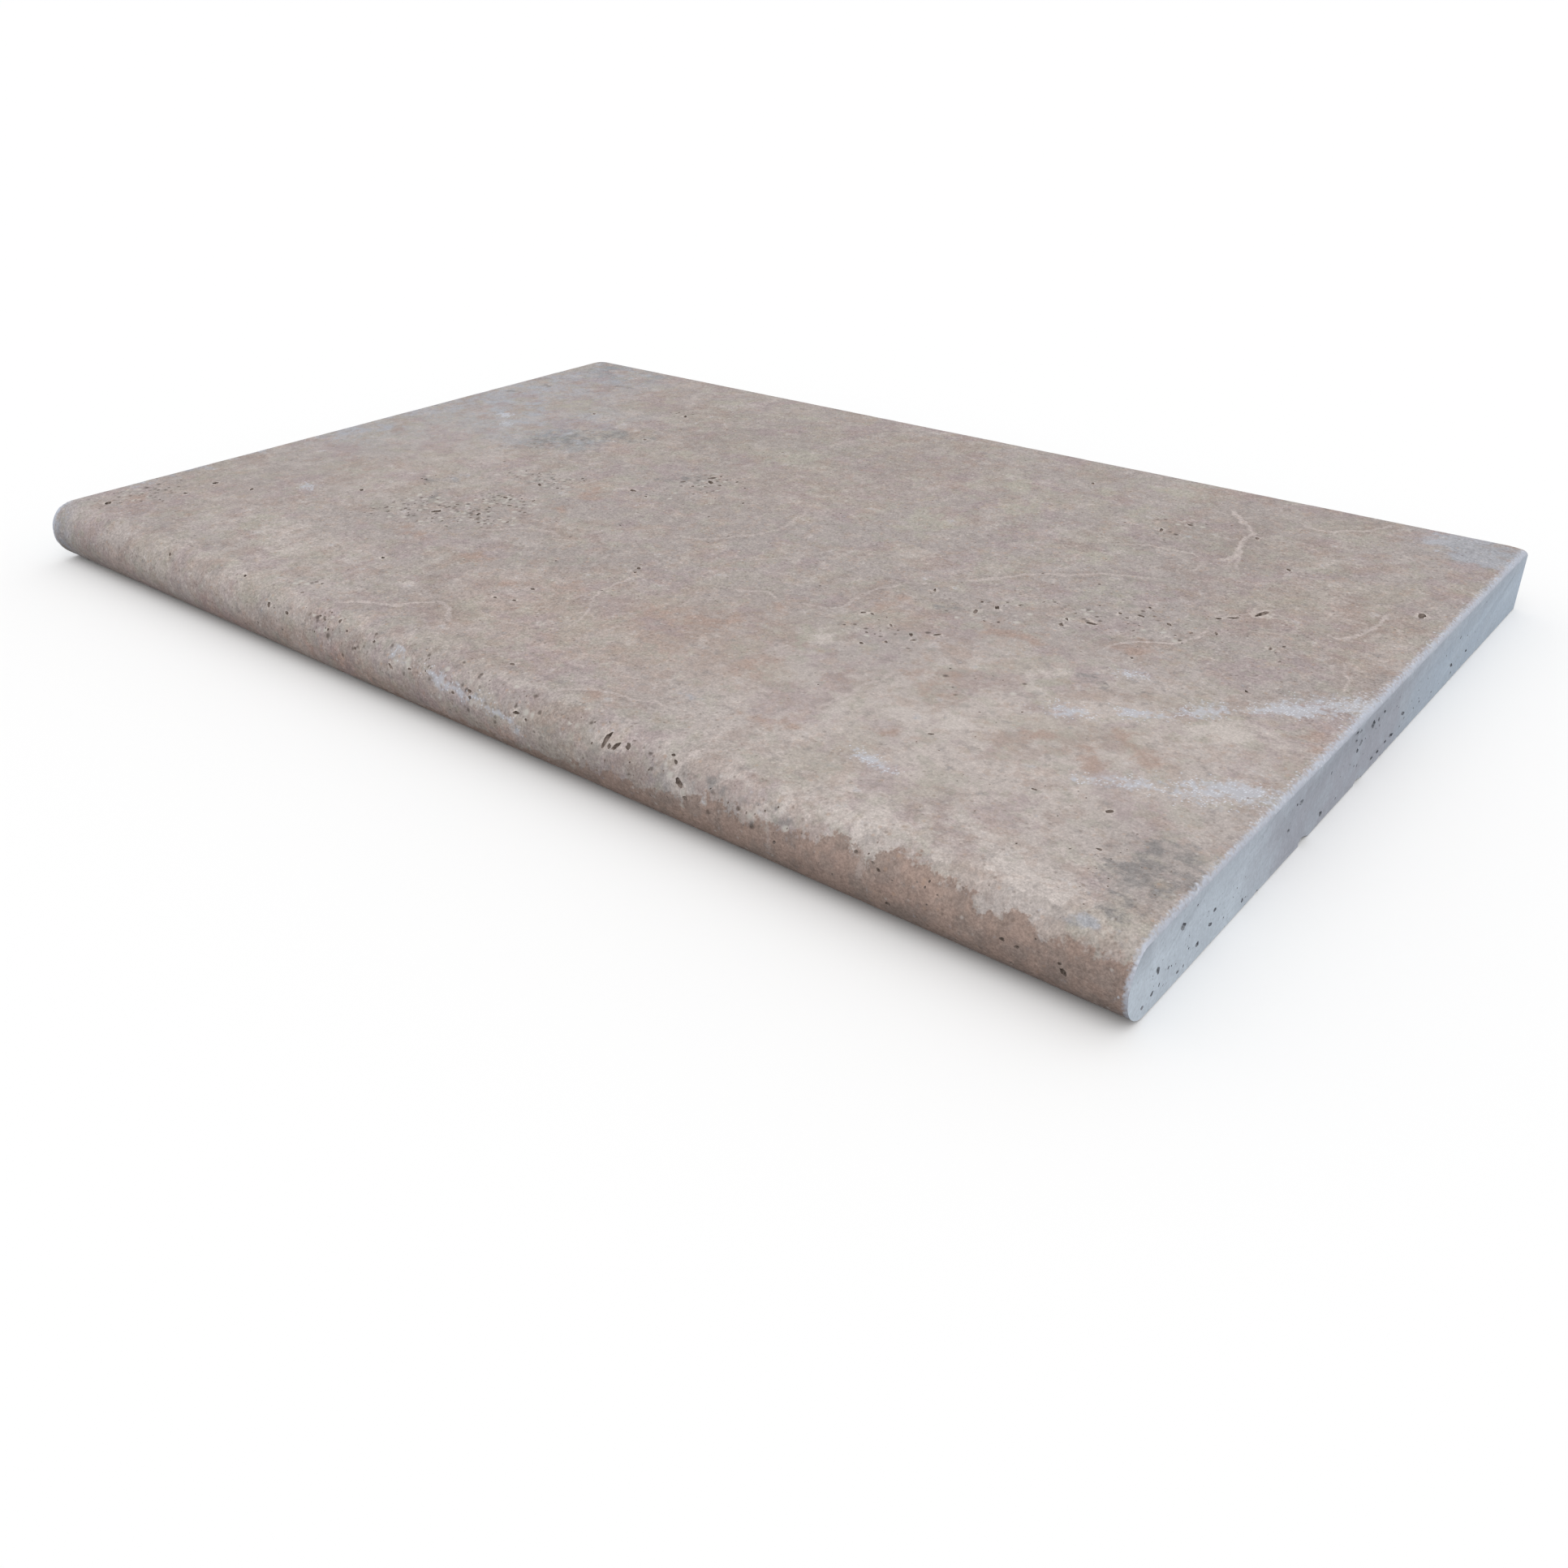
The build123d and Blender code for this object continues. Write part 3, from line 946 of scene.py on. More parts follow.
        # The brown bed low on the nose, darkest along its ragged upper edge
        inputs = {0: fine, 1: self.band_rag, 2: marks[Mark.BAND]}
        depth = node(tree, "ShaderNodeMath", inputs, operation="MULTIPLY_ADD")
        start, full = self.band_start
        ends = {"From Min": start, "From Max": full, "To Max": 0.85}
        share = node(tree, "ShaderNodeMapRange", {"Value": depth, **ends}, interpolation_type="SMOOTHSTEP")
        bed = self.band_drift.lay(tree, place, linear(self.band))
        colour = node(tree, "ShaderNodeMix", {"Factor": share, "A": colour, "B": bed}, data_type="RGBA")
        start, full = self.band_rim_span
        ends = {"From Min": start, "From Max": full, "To Max": 0.5}
        rim = node(tree, "ShaderNodeMapRange", {"Value": depth, **ends}, interpolation_type="SMOOTHSTEP")
        share = node(tree, "ShaderNodeMath", {0: rim, 1: share}, operation="MULTIPLY")
        inputs = {"Factor": share, "A": colour, "B": linear(self.band_rim)}
        colour = node(tree, "ShaderNodeMix", inputs, data_type="RGBA")

        # Veins of calcite: a thin pale core whose line wanders, between darker flanks
        inputs = {0: fine, 1: self.vein_wander, 2: marks[Mark.VEIN]}
        wander = node(tree, "ShaderNodeMath", inputs, operation="MULTIPLY_ADD")
        gap = node(tree, "ShaderNodeMath", {0: wander, 1: self.vein_wander / 2}, operation="SUBTRACT")
        gap = node(tree, "ShaderNodeMath", {0: gap}, operation="ABSOLUTE")
        for stain, outer, inner, most in self.vein_layers:
            inputs = {"Value": gap, "From Min": outer, "From Max": inner, "To Max": most}
            width = node(tree, "ShaderNodeMapRange", inputs, interpolation_type="SMOOTHSTEP")
            inputs = {0: width, 1: marks[Mark.VEIN_SHARE]}
            share = node(tree, "ShaderNodeMath", inputs, operation="MULTIPLY")
            inputs = {"Factor": share, "A": colour, "B": linear(stain)}
            colour = node(tree, "ShaderNodeMix", inputs, data_type="RGBA")

        # The grain of the stone, quieter where the brush left it smooth
        grained = colour
        for tone in self.tones:
            grained = tone.lay(tree, place, grained)
        for speck in self.specks:
            grained = speck.lay(tree, place, grained)
        share = node(tree, "ShaderNodeMath", {0: marks[Mark.CALM], 1: self.calmed}, operation="MULTIPLY")
        colour = node(tree, "ShaderNodeMix", {"Factor": share, "A": grained, "B": colour}, data_type="RGBA")
        for tick in self.ticks:
            colour = tick.lay(tree, place, colour, marks[Mark.ETCHED])

        # Frost: a thin veil, and bright crystals in it
        colour = self.frost_veil.lay(tree, place, colour, marks)
        colour = self.frost.lay(tree, place, colour, marks[Mark.FROST])

        # The pale crumbled arris beside a sawn face
        inputs = {0: grit, 1: 1.1, 2: marks[Mark.WORN]}
        crumble = node(tree, "ShaderNodeMath", inputs, operation="MULTIPLY_ADD")
        ends = {"From Min": 0.9, "From Max": 1.4, "To Max": 0.88}
        share = node(tree, "ShaderNodeMapRange", {"Value": crumble, **ends})
        inputs = {"Factor": share, "A": colour, "B": linear(self.worn)}
        colour = node(tree, "ShaderNodeMix", inputs, data_type="RGBA")
        colour = self.crumbs.lay(tree, place, colour, marks[Mark.WORN])

        height = node(tree, "ShaderNodeMath", {0: fine, 1: 1.2, 2: grit}, operation="MULTIPLY_ADD")
        close_material(material, colour, height, self.relief)
        return material


@dataclass(frozen=True)
class SawnTravertine:
    """Wet-sawn travertine: light grey under its own dust with a blue cast that is partly painted cool light,
    smooth, with fine pores.
    """

    name: str = "sawn_travertine"
    # The blue cast of the sawn colours is partly painted cool light; the stone and its dust are light grey
    dust: str = "#C3D0DF"
    # Partly bare stone and partly painted shade: the greyer middle of the sawn faces
    bare: str = "#BABDC8"
    bright: str = "#DAE5F1"
    # Painted shade: the upper part of the sawn faces is darkened towards the top
    shade: str = "#A8AEB8"
    roughness: float = 0.8
    relief: float = 0.2
    drift_size: float = 30.0
    grit_size: float = 1.6
    # Where each layer starts and is full, in metres: bare stone with painted shade and the nose's dust along
    # Y, painted shade up Z
    bare_and_shade_span: tuple[float, float] = (0.13, 0.04)
    nose_span: tuple[float, float] = (-0.04, -0.10)
    painted_shade_span: tuple[float, float] = (0.016, 0.028)
    washes: tuple[Wash, ...] = (
        Wash("#B9C2CD", 60.0, 0.35, 0.45, 0.65),
        Wash("#C3CDD8", 14.0, 0.4, 0.45, 0.65),
    )
    tones: tuple[Tone, ...] = (Tone(7.0, 0.04), Tone(1.4, 0.08, 2.0))
    specks: tuple[Speck, ...] = (Speck("#8B929B", 1.7, 0.07, 0.5), Speck("#DDE5EE", 2.2, 0.06, 0.4))

    def build(self) -> bpy.types.Material:
        """Makes the material.

        Returns:
            A material with drifts of saw dust over bare stone with painted shade in the middle, a painted
            shade over its upper part, and specks of pores.
        """
        material, place = new_material(self.name, self.roughness)
        tree = material.node_tree
        back = node(tree, "ShaderNodeSeparateXYZ", {"Vector": place}, out="Y")
        height = node(tree, "ShaderNodeSeparateXYZ", {"Vector": place}, out="Z")
        inputs = {"Vector": place, "Scale": per_metre(self.drift_size), "Detail": 3.0}
        drift = node(tree, "ShaderNodeTexNoise", inputs)
        along = node(tree, "ShaderNodeMath", {0: drift, 1: 0.08, 2: back}, operation="MULTIPLY_ADD")

        # Greyer in the middle, partly bare stone left by the saw and partly painted shade, and thick dust by
        # the nose
        ends = dict(zip(("From Min", "From Max"), self.bare_and_shade_span))
        rear = node(tree, "ShaderNodeMapRange", {"Value": along, **ends}, interpolation_type="SMOOTHSTEP")
        inputs = {"Factor": rear, "A": linear(self.dust), "B": linear(self.bare)}
        colour = node(tree, "ShaderNodeMix", inputs, data_type="RGBA")
        ends = dict(zip(("From Min", "From Max"), self.nose_span))
        front = node(tree, "ShaderNodeMapRange", {"Value": along, **ends}, interpolation_type="SMOOTHSTEP")
        inputs = {"Factor": front, "A": colour, "B": linear(self.bright)}
        colour = node(tree, "ShaderNodeMix", inputs, data_type="RGBA")
        # Painted shade, darker towards the top of the sawn faces
        ends = dict(zip(("From Min", "From Max"), self.painted_shade_span))
        upper = node(tree, "ShaderNodeMapRange", {"Value": height, "To Max": 0.65, **ends})
        inputs = {"Factor": upper, "A": colour, "B": linear(self.shade)}
        colour = node(tree, "ShaderNodeMix", inputs, data_type="RGBA")
        for wash in self.washes:
            colour = wash.lay(tree, place, colour)
        for tone in self.tones:
            colour = tone.lay(tree, place, colour)
        for speck in self.specks:
            colour = speck.lay(tree, place, colour)
        inputs = {"Vector": place, "Scale": per_metre(self.grit_size), "Detail": 3.0}
        grit = node(tree, "ShaderNodeTexNoise", inputs)
        close_material(material, colour, grit, self.relief)
        return material


@dataclass(frozen=True)
class PoreWall:
    """The wall of an open pore: raw stone with silt in it, and full of shade."""

    name: str
    wall: str
    silt: str
    silt_size: float = 2.6
    grit_size: float = 1.1
    roughness: float = 0.95
    relief: float = 0.3

    def build(self) -> bpy.types.Material:
        """Makes the material.

        Returns:
            A rough material that drifts between bare wall and silt.
        """
        material, place = new_material(self.name, self.roughness)
        tree = material.node_tree
        colour = Wash(self.silt, self.silt_size, 1.0, 0.35, 0.65).lay(tree, place, linear(self.wall))
        inputs = {"Vector": place, "Scale": per_metre(self.grit_size), "Detail": 3.0}
        grit = node(tree, "ShaderNodeTexNoise", inputs)
        close_material(material, colour, grit, self.relief)
        return material


BRUSHED_PORE = PoreWall("brushed_pore_wall", "#948780", "#594E47")
SAWN_PORE = PoreWall("sawn_pore_wall", "#A2A6AD", "#6C7077")


@dataclass
class CopingStone:
    """The stone itself: a slab with a round nose, eased arrises, open pores and its own markings."""

    length: float
    depth: float
    thickness: float
    arris_run: float = 3.0
    arris_drop: float = 2.2
    grid: float = 2.7
    underside_grid: float = 10.0
    nose_steps: int = 20
    arris_steps: int = 5
    corner: float = 1.5
    corner_drop: float = 1.4
    corner_reach: float = 9.0
    # How wide the pale worn arris is: at places along the right end, along the left end and along the back
    right_wear: tuple[tuple[float, float], ...] = (
        (-190, 3.4),
        (-115, 3.7),
        (-70, 4.8),
        (20, 5.4),
        (90, 4.8),
    )
    left_wear: float = 4.2
    rear_wear: float = 3.0
    # The depth and the sizes of the brushed face's unevenness, and of the bites out of the ends' edges
    undulation: float = 0.22
    swell_sizes: tuple[float, float] = (34.0, 7.0)
    nibble: float = 0.45
    bite_sizes: tuple[float, float] = (4.0, 1.5)
    small_pore: float = 1.3
    large_pore: float = 2.9
    # How far the painted highlight about a pore reaches, in millimetres
    pore_rim_highlight: float = 2.2
    # The sizes of the slow and the quick bends in the outlines of the markings, and how far they push them
    sway_size: float = 26.0
    ripple_size: float = 8.0
    drift_push: tuple[float, float] = (12.0, 5.0)
    patch_push: tuple[float, float] = (4.0, 3.0)
    vein_push: float = 2.4
    tick_push: float = 3.0
    vein_reach: float = 9.0
    sharp_angle: float = 32.0
    name: str = "travertine_stone"
    dice: random.Random = field(default_factory=lambda: random.Random(SEED))

    def __post_init__(self) -> None:
        """Works out the sizes that follow from the driving ones."""
        self.end = self.length / 2
        self.back = self.depth / 2
        self.nose_radius = self.thickness / 2
        self.nose_back = self.nose_radius - self.depth / 2

    def build(self) -> bpy.types.Object:
        """Builds and dresses the whole stone.

        Returns:
            The finished piece, in metres, at the origin.
        """
        slab = self.slab()
        self.ease(slab)
        self.wear(slab)
        stone = self.as_object(slab, self.name)
        stone.data.materials.append(BrushedTravertine().build())
        stone.data.materials.append(SawnTravertine().build())
        cutters = self.as_object(self.pores(), "pores")
        cutters.data.materials.append(BRUSHED_PORE.build())
        cutters.data.materials.append(SAWN_PORE.build())
        self.carve(stone, cutters)
        self.mark(stone.data)
        stone.data.shade_smooth()
        stone.data.set_sharp_from_angle(angle=math.radians(self.sharp_angle))
        stone.data.transform(Matrix.Scale(MM, 4))
        return stone

    def as_object(self, mesh: bmesh.types.BMesh, name: str) -> bpy.types.Object:
        """Turns a bmesh into an object of the scene, and frees it.

        Args:
            mesh: The bmesh.
            name: The object's name.

        Returns:
            The object.
        """
        data = bpy.data.meshes.new(name)
        mesh.to_mesh(data)
        mesh.free()
        made = bpy.data.objects.new(name, data)
        bpy.context.scene.collection.objects.link(made)
        return made

    def slab(self) -> bmesh.types.BMesh:
        """Draws the section at one end and extrudes it along the nose, in even quads.

        Returns:
            The plain slab with its half-round nose.
        """
        mesh = bmesh.new()
        centre = (-self.end, self.nose_back, self.nose_radius)
        crown = mesh.verts.new((-self.end, self.nose_back, self.thickness))
        half_turn = {"axis": (1, 0, 0), "angle": math.pi, "steps": self.nose_steps}
        bmesh.ops.spin(mesh, geom=[crown], cent=centre, **half_turn)
        mesh.verts.ensure_lookup_table()
        foot = min(mesh.verts, key=lambda vert: vert.co.z)
        heel = mesh.verts.new((-self.end, self.back, 0.0))
        crest = mesh.verts.new((-self.end, self.back, self.thickness))
        for start, stop in ((foot, heel), (heel, crest), (crest, crown)):
            mesh.edges.new((start, stop))
        rows = {0.0: self.underside_grid, self.nose_radius: self.thickness / 8, self.thickness: self.grid}
        for height, step in rows.items():
            straight = [edge for edge in mesh.edges if edge.calc_length() > self.nose_radius]
            run = min(straight, key=lambda edge: abs(sum(vert.co.z for vert in edge.verts) / 2 - height))
            bmesh.ops.subdivide_edges(mesh, edges=[run], cuts=round(run.calc_length() / step) - 1)
        section = bmesh.ops.contextual_create(mesh, geom=mesh.edges[:])["faces"]
        moved = bmesh.ops.extrude_face_region(mesh, geom=section, use_keep_orig=True)["geom"]
        verts = [part for part in moved if isinstance(part, bmesh.types.BMVert)]
        bmesh.ops.translate(mesh, verts=verts, vec=(self.length, 0, 0))
        ribs = [edge for edge in mesh.edges if abs(edge.verts[0].co.x - edge.verts[1].co.x) > self.end]
        bmesh.ops.subdivide_edges(mesh, edges=ribs, cuts=round(self.length / self.grid) - 1)
        for step in range(1, self.arris_steps + 1):
            inset = self.arris_run * step / self.arris_steps
            for plane, normal in (
                ((self.end - inset, 0, 0), (1, 0, 0)),
                ((inset - self.end, 0, 0), (1, 0, 0)),
                ((0, self.back - inset, 0), (0, 1, 0)),
            ):
                geom = mesh.verts[:] + mesh.edges[:] + mesh.faces[:]
                bmesh.ops.bisect_plane(mesh, geom=geom, dist=0.05, plane_co=plane, plane_no=normal)
        bmesh.ops.recalc_face_normals(mesh, faces=mesh.faces[:])
        for face in mesh.faces:
            brushed = face.normal.z > 0.5 or face.calc_center_median().y < self.nose_back
            sawn_end = abs(face.normal.x) > 0.5
            face.material_index = Finish.BRUSHED if brushed and not sawn_end else Finish.SAWN
        log.info("slab: %d faces", len(mesh.faces))
        return mesh

    def ease(self, mesh: bmesh.types.BMesh) -> None:
        """Eases the top arris along the back and both ends, and lets the two back corners fall lower.

        Args:
            mesh: The slab, which is changed.
        """
        radius = (self.arris_run**2 + self.arris_drop**2) / (2 * self.arris_drop)
        for vert in mesh.verts:
            inset = Vector((self.end - abs(vert.co.x), self.back - vert.co.y))
            fall = self.corner_drop * max(0.0, 1.0 - inset.length / self.corner_reach) ** 2
            if min(inset) < self.arris_run:
                fall += radius - math.sqrt(radius**2 - (self.arris_run - min(inset)) ** 2)
            vert.co.z = min(vert.co.z, self.thickness - fall)

    def inward(self, point: Vector) -> Vector:
        """Finds the direction into the stone at a point of its section's outline.

        Args:
            point: The point, in millimetres.

        Returns:
            A direction of length one.
        """
        if point.y < self.nose_back:
            return Vector((0, self.nose_back - point.y, self.nose_radius - point.z)).normalized()
        if point.z > self.nose_radius:
            return Vector((0, 0, -1))
        return Vector((0, 0, 1))

    def wear(self, mesh: bmesh.types.BMesh) -> None:
        """Rounds the two back corners, makes the brushed face uneven and nibbles the edges of the sawn ends.

        Args:
            mesh: The slab, which is changed.
        """
        large_bite, small_bite = self.bite_sizes
        large_swell, small_swell = self.swell_sizes
        for vert in mesh.verts:
            at_end = abs(abs(vert.co.x) - self.end) < 0.01
            outside = Vector((abs(vert.co.x) - self.end, vert.co.y - self.back))
            reach = outside + Vector((self.corner, self.corner))
            if min(reach) > 0 and reach.length > self.corner:
                shift = reach * (self.corner / reach.length - 1)
                vert.co += Vector((math.copysign(shift.x, shift.x * vert.co.x), shift.y, 0))
            elif at_end:
                bite = noise.noise(vert.co / large_bite) + 0.35 * noise.noise(vert.co / small_bite)
                vert.co += self.inward(vert.co) * self.nibble * max(0.0, bite)
            elif vert.co.z > self.nose_radius or vert.co.y < self.nose_back:
                slow = noise.noise(vert.co / large_swell)
                quick = noise.noise(vert.co / small_swell)
                swell = 0.5 + 0.4 * slow + 0.3 * quick
                vert.co += self.inward(vert.co) * self.undulation * max(0.0, swell)

    def frame_at(self, face: Face, along: float, across: float) -> Matrix:
        """Finds the frame at a place on a face.

        Args:
            face: The face.
            along: How far along the face, in millimetres.
            across: How far across or up it.

        Returns:
            A matrix whose X runs along the face and whose Z points out of the stone.
        """
        if face is Face.BRUSHED:
            round_angle = max(0.0, (self.nose_back - across) / self.nose_radius)
            lie = max(across, self.nose_back) - self.nose_radius * math.sin(round_angle)
            height = self.nose_radius * (1 + math.cos(round_angle))
            return Matrix.Translation((along, lie, height)) @ Matrix.Rotation(round_angle, 4, "X")
        upright = Matrix.Rotation(math.radians(90), 4, "X")
        if face is Face.UNDERSIDE:
            return Matrix.Translation((along, across, 0)) @ Matrix.Rotation(math.pi, 4, "X")
        if face is Face.BACK:
            turned = Matrix.Translation((along, self.back, across)) @ Matrix.Rotation(math.pi, 4, "Z")
            return turned @ upright
        quarter = math.radians(90 if face is Face.RIGHT_END else -90)
        place = Vector((math.copysign(self.end, quarter), along, across))
        return Matrix.Translation(place) @ Matrix.Rotation(quarter, 4, "Z") @ upright

    def limits(self, face: Face) -> tuple[float, float, float, float]:
        """Finds where on a face a scattered pore may open, clear of its edges.

        Args:
            face: The face.

        Returns:
            The least and the greatest place along the face, and then across it.
        """
        if face is Face.BRUSHED:
            return -self.end + 6, self.end - 6, self.nose_back - 2.4 * self.nose_radius, self.back - 7
        if face is Face.UNDERSIDE:
            return -self.end + 8, self.end - 8, self.nose_back + 8, self.back - 8
        if face is Face.BACK:
            return -self.end + 5, self.end - 5, 3.0, self.thickness - 6
        return -self.back + 12, self.back - 5, 2.5, self.thickness - 5

    def all_pits(self) -> list[Pit]:
        """Gathers the pores placed one by one and those scattered in beds, none of them overlapping.

        Returns:
            The pores, the placed ones first.
        """
        pits = list(PITS)
        taken = [(self.frame_at(p.face, p.along, p.across).translation, p.long / 2) for p in pits]
        for bed in PIT_BEDS:
            low_along, high_along, low_across, high_across = self.limits(bed.face)
            for _ in range(bed.count):
                along = self.dice.gauss(bed.along, bed.spread_along)
                across = self.dice.gauss(bed.across, bed.spread_across)
                long = bed.largest * self.dice.uniform(0.35, 1.0)
                wide = long * self.dice.uniform(0.45, 0.85)
                turn = self.dice.gauss(bed.turn, 45.0)
                if not (low_along < along < high_along and low_across < across < high_across):
                    continue
                place = self.frame_at(bed.face, along, across).translation
                if any((place - other).length < 1.25 * (long / 2 + reach) + 0.2 for other, reach in taken):
                    continue
                pits.append(Pit(bed.face, along, across, long, wide, turn))
                taken.append((place, long / 2))
        return pits

    def pores(self) -> bmesh.types.BMesh:
        """Makes a ragged blob for every pore, to be cut out of the slab.

        Returns:
            All the blobs in one mesh.
        """
        mesh = bmesh.new()
        pits = self.all_pits()
        single = bpy.data.meshes.new("single_pore")
        for number, pit in enumerate(pits):
            blob = bmesh.new()
            fineness = 1 + (pit.long > self.small_pore) + (pit.long > self.large_pore)
            bmesh.ops.create_icosphere(blob, subdivisions=fineness, radius=1.0)
            for face in blob.faces:
                face.material_index = Finish.BRUSHED if pit.face is Face.BRUSHED else Finish.SAWN
            drift = Vector((number * 3.7, number * 1.3, number * 2.1))
            for vert in blob.verts:
                rough = noise.noise(vert.co * 1.1 + drift) + 0.5 * noise.noise(vert.co * 2.6 + drift)
                vert.co *= 1.0 + 0.5 * rough
            size = Matrix.Diagonal((pit.long / 2, pit.wide / 2, 0.5 * pit.wide, 1.0))
            turn = Matrix.Rotation(math.radians(pit.turn), 4, "Z")
            place = self.frame_at(pit.face, pit.along, pit.across) @ turn @ size
            bmesh.ops.transform(blob, matrix=place, verts=blob.verts[:])
            blob.to_mesh(single)
            blob.free()
            mesh.from_mesh(single)
        bpy.data.meshes.remove(single)
        log.info("pores: %d", len(pits))
        return mesh

    def carve(self, stone: bpy.types.Object, cutters: bpy.types.Object) -> None:
        """Cuts the pores out of the stone for good, and removes their blobs.

        Args:
            stone: The plain stone, which gets the carved mesh.
            cutters: The blobs.
        """
        cut = stone.modifiers.new("pores", "BOOLEAN")
        cut.operation = "DIFFERENCE"
        cut.solver = "MANIFOLD"
        cut.material_mode = "TRANSFER"
        cut.object = cutters
        carved = stone.evaluated_get(bpy.context.evaluated_depsgraph_get())
        plain = stone.data
        stone.data = bpy.data.meshes.new_from_object(carved)
        stone.modifiers.clear()
        stone.data.name = self.name
        bpy.data.meshes.remove(plain)
        bpy.data.objects.remove(cutters)
        stone.data.calc_loop_triangles()
        log.info("stone: %d triangles", len(stone.data.loop_triangles))

    def brushed_places(self, points: np.ndarray) -> np.ndarray:
        """Unrolls points of the brushed face.

        Args:
            points: Points of the stone, in millimetres.

        Returns:
            Their places along and across the brushed face.
        """
        round_angle = np.arctan2(self.nose_back - points[:, 1], points[:, 2] - self.nose_radius)
        on_nose = points[:, 1] < self.nose_back
        across = np.where(on_nose, self.nose_back - self.nose_radius * round_angle, points[:, 1])
        return np.column_stack([points[:, 0], across])

    def mark(self, data: bpy.types.Mesh) -> None:
        """Lays the stone's markings on its mesh: stains, veins, painted highlights about the pores, the
        brown bed and worn edges.

        Args:
            data: The carved mesh, in millimetres.
        """
        points = np.empty(len(data.vertices) * 3)
        data.vertices.foreach_get("co", points)
        points = points.reshape(-1, 3)
        places = self.brushed_places(points)
        # Blender's vector noise starts from the clock unless it is given a seed
        noise.seed_set(SEED)
        sway = np.array([noise.noise_vector(Vector(p) / self.sway_size) for p in points])[:, :2]
        ripple = np.array([noise.noise_vector(Vector(p) / self.ripple_size) for p in points])[:, :2]
        ragged = places + self.drift_push[0] * sway + self.drift_push[1] * ripple

        tints = np.tile(linear(Tint.BASE.value), (len(points), 1))
        for drift in DRIFTS:
            share = drift.weight(ragged)[:, None]
            tints = tints * (1 - share) + share * linear(drift.kind.value)

        torn = places + self.patch_push[0] * sway + self.patch_push[1] * ripple
        weights = {patch.kind: np.zeros(len(points)) for patch in PATCHES}
        for patch in PATCHES:
            weights[patch.kind] = np.maximum(weights[patch.kind], patch.weight(torn))

        vein = np.full(len(points), 50.0)
        vein_share = np.zeros(len(points))
        for streak in VEINS:
            near = streak.near(places, self.vein_reach)
            bent = places[near] + self.vein_push * ripple[near]
            offset, share = offset_from(rounded(streak.points), bent)
            hold = smooth_step(8.0, 4.0, np.abs(offset)) * smooth_step(0.0, 0.12, share)
            hold *= streak.strength * smooth_step(1.0, 0.88, share)
            closer = np.abs(offset) < np.abs(vein[near])
            vein[near[closer]] = offset[closer] * 1.3 / streak.width
            vein_share[near[closer]] = hold[closer]

        # Painted highlight: pale about each placed pore on the brushed face
        rim = np.zeros(len(points))
        for pit in PITS:
            if pit.face is Face.BRUSHED:
                gap = np.linalg.norm(places - (pit.along, pit.across), axis=1) - pit.long / 2
                rim = np.maximum(rim, smooth_step(self.pore_rim_highlight, 0.3, gap))

        edge = np.array(BAND_EDGE, float)
        band = np.interp(places[:, 0], edge[:, 0], edge[:, 1]) - places[:, 1]

        etched = np.zeros(len(points))
        for bed in PIT_BEDS:
            if bed.face is Face.BRUSHED:
                etched = np.maximum(etched, bed.ticks(places + self.tick_push * ripple))

        reach = np.interp(points[:, 1], *np.transpose(self.right_wear))
        right = (self.end - points[:, 0]) / reach
        left = (self.end + points[:, 0]) / self.left_wear
        rear = (self.back - points[:, 1]) / self.rear_wear
        worn = 1.0 - np.clip(np.minimum(np.minimum(right, left), rear), 0.0, 1.0)

        self.store(data, Mark.TINT, "FLOAT_COLOR", "color", tints)
        self.store(data, Mark.VEIN, "FLOAT", "value", vein)
        self.store(data, Mark.VEIN_SHARE, "FLOAT", "value", vein_share)
        for kind, weight in weights.items():
            self.store(data, kind, "FLOAT", "value", weight)
        self.store(data, Mark.BAND, "FLOAT", "value", band)
        self.store(data, Mark.WORN, "FLOAT", "value", worn)
        self.store(data, Mark.ETCHED, "FLOAT", "value", etched)
        self.store(data, Mark.RIM_HIGHLIGHT, "FLOAT", "value", rim)

    def store(self, data: bpy.types.Mesh, name: Mark, kind: str, part: str, values: np.ndarray) -> None:
        """Writes one marking to the mesh, a value for each vertex."""
        attribute = data.attributes.new(name.value, kind, "POINT")
        attribute.data.foreach_set(part, values.astype(np.float32).ravel())


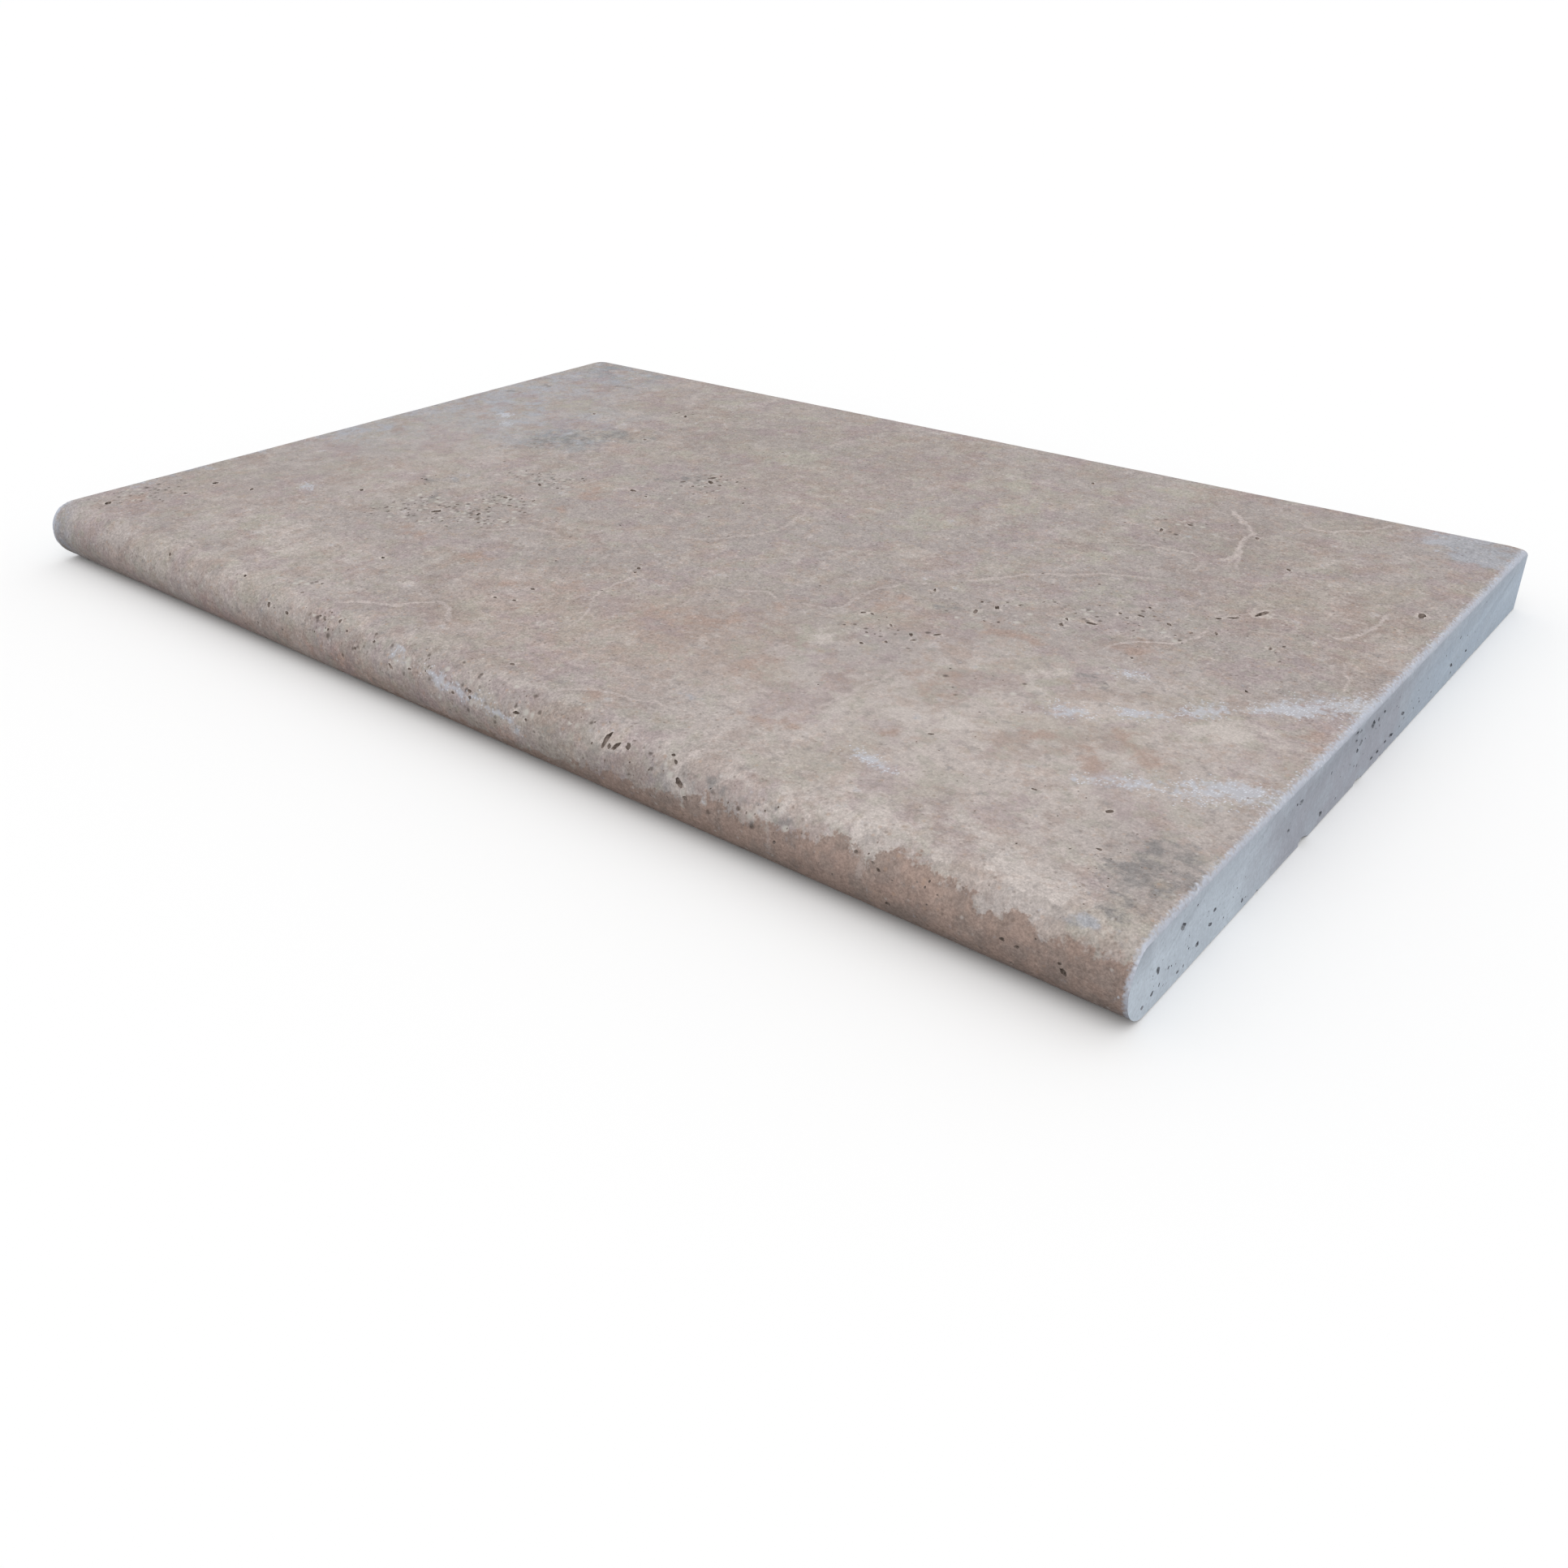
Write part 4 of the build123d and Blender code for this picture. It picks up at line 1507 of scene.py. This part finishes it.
@dataclass
class Studio:
    """A pale floor under soft light, and the camera."""

    floor_seen: str = "#F8F8F8"
    floor_bounce: str = "#909090"
    floor_size: float = 120.0
    floor_drop: float = 0.0003
    dome: float = 0.865
    sun: float = 0.75
    sun_spread: float = 60.0
    sun_lean: tuple[float, float] = (25.0, 20.0)
    camera_place: tuple[float, float, float] = (425.34, -513.73, 265.67)
    camera_aim: tuple[float, float, float] = (-0.568, 0.67167, -0.47564)
    camera_roll: float = -0.558
    focal_length: float = 32.576
    shift: tuple[float, float] = (0.02959, -0.02247)
    clip: tuple[float, float] = (0.01, 500.0)

    def build(self) -> None:
        """Builds the floor, the light and the camera."""
        self.lay_floor()
        self.light()
        self.aim_camera()
        bpy.context.scene.view_settings.view_transform = "Standard"

    def lay_floor(self) -> None:
        """Lays the floor just under the stone."""
        mesh = bmesh.new()
        bmesh.ops.create_grid(mesh, x_segments=1, y_segments=1, size=self.floor_size / 2)
        bmesh.ops.translate(mesh, verts=mesh.verts[:], vec=(0, 0, -self.floor_drop))
        data = bpy.data.meshes.new("studio_floor")
        mesh.to_mesh(data)
        mesh.free()
        floor = bpy.data.objects.new("studio_floor", data)
        bpy.context.scene.collection.objects.link(floor)
        # Pale to the eye, but it throws little light back up at the stone, so that the nose keeps its shade
        paint = bpy.data.materials.new("pale_matt_floor")
        paint.use_nodes = True
        tree = paint.node_tree
        seen = node(tree, "ShaderNodeLightPath", out="Is Camera Ray")
        inputs = {"Factor": seen, "A": linear(self.floor_bounce), "B": linear(self.floor_seen)}
        colour = node(tree, "ShaderNodeMix", inputs, data_type="RGBA")
        shader = tree.nodes["Principled BSDF"]
        tree.links.new(colour, shader.inputs["Base Color"])
        shader.inputs["Roughness"].default_value = 1.0
        shader.inputs["Specular IOR Level"].default_value = 0.0
        data.materials.append(paint)

    def light(self) -> None:
        """Hangs a white dome over the stone and a broad soft lamp high above it."""
        scene = bpy.context.scene
        scene.world = bpy.data.worlds.new("studio_dome")
        scene.world.use_nodes = True
        tree = scene.world.node_tree
        sky = tree.nodes["Background"]
        sky.inputs["Color"].default_value = (1, 1, 1, 1)
        seen = node(tree, "ShaderNodeLightPath", out="Is Camera Ray")
        strength = node(tree, "ShaderNodeMapRange", {"Value": seen, "To Min": self.dome, "To Max": 1.0})
        tree.links.new(strength, sky.inputs["Strength"])
        lamp = bpy.data.lights.new("overhead_lamp", "SUN")
        lamp.energy = self.sun
        lamp.angle = math.radians(self.sun_spread)
        hung = bpy.data.objects.new("overhead_lamp", lamp)
        hung.rotation_euler = (math.radians(self.sun_lean[0]), math.radians(self.sun_lean[1]), 0)
        scene.collection.objects.link(hung)

    def aim_camera(self) -> None:
        """Stands the camera where the photograph was taken from."""
        view = bpy.data.cameras.new("camera")
        view.lens = self.focal_length
        view.shift_x, view.shift_y = self.shift
        view.clip_start, view.clip_end = self.clip
        camera = bpy.data.objects.new("camera", view)
        turn = Vector(self.camera_aim).to_track_quat("-Z", "Y").to_matrix().to_4x4()
        roll = Matrix.Rotation(math.radians(self.camera_roll), 4, "Z")
        camera.matrix_world = Matrix.Translation(Vector(self.camera_place) * MM) @ turn @ roll
        bpy.context.scene.collection.objects.link(camera)
        bpy.context.scene.camera = camera


def main() -> None:
    """Builds the stone, puts it in the frame and sets up the studio."""
    logging.basicConfig(level=logging.INFO, format="%(name)s: %(message)s")
    low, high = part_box(NODE)
    size = (high - low) / MM
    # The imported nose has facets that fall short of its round, so the depth comes from the flat back
    depth = 2 * high.y / MM
    stone = CopingStone(round(size.x, 1), round(depth, 1), round(size.z, 1)).build()
    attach(stone, BODY)
    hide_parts(NODE)
    log.info("built %s", stone.name)
    Studio().build()
    log.info("studio ready")


if __name__ == "__main__":
    main()
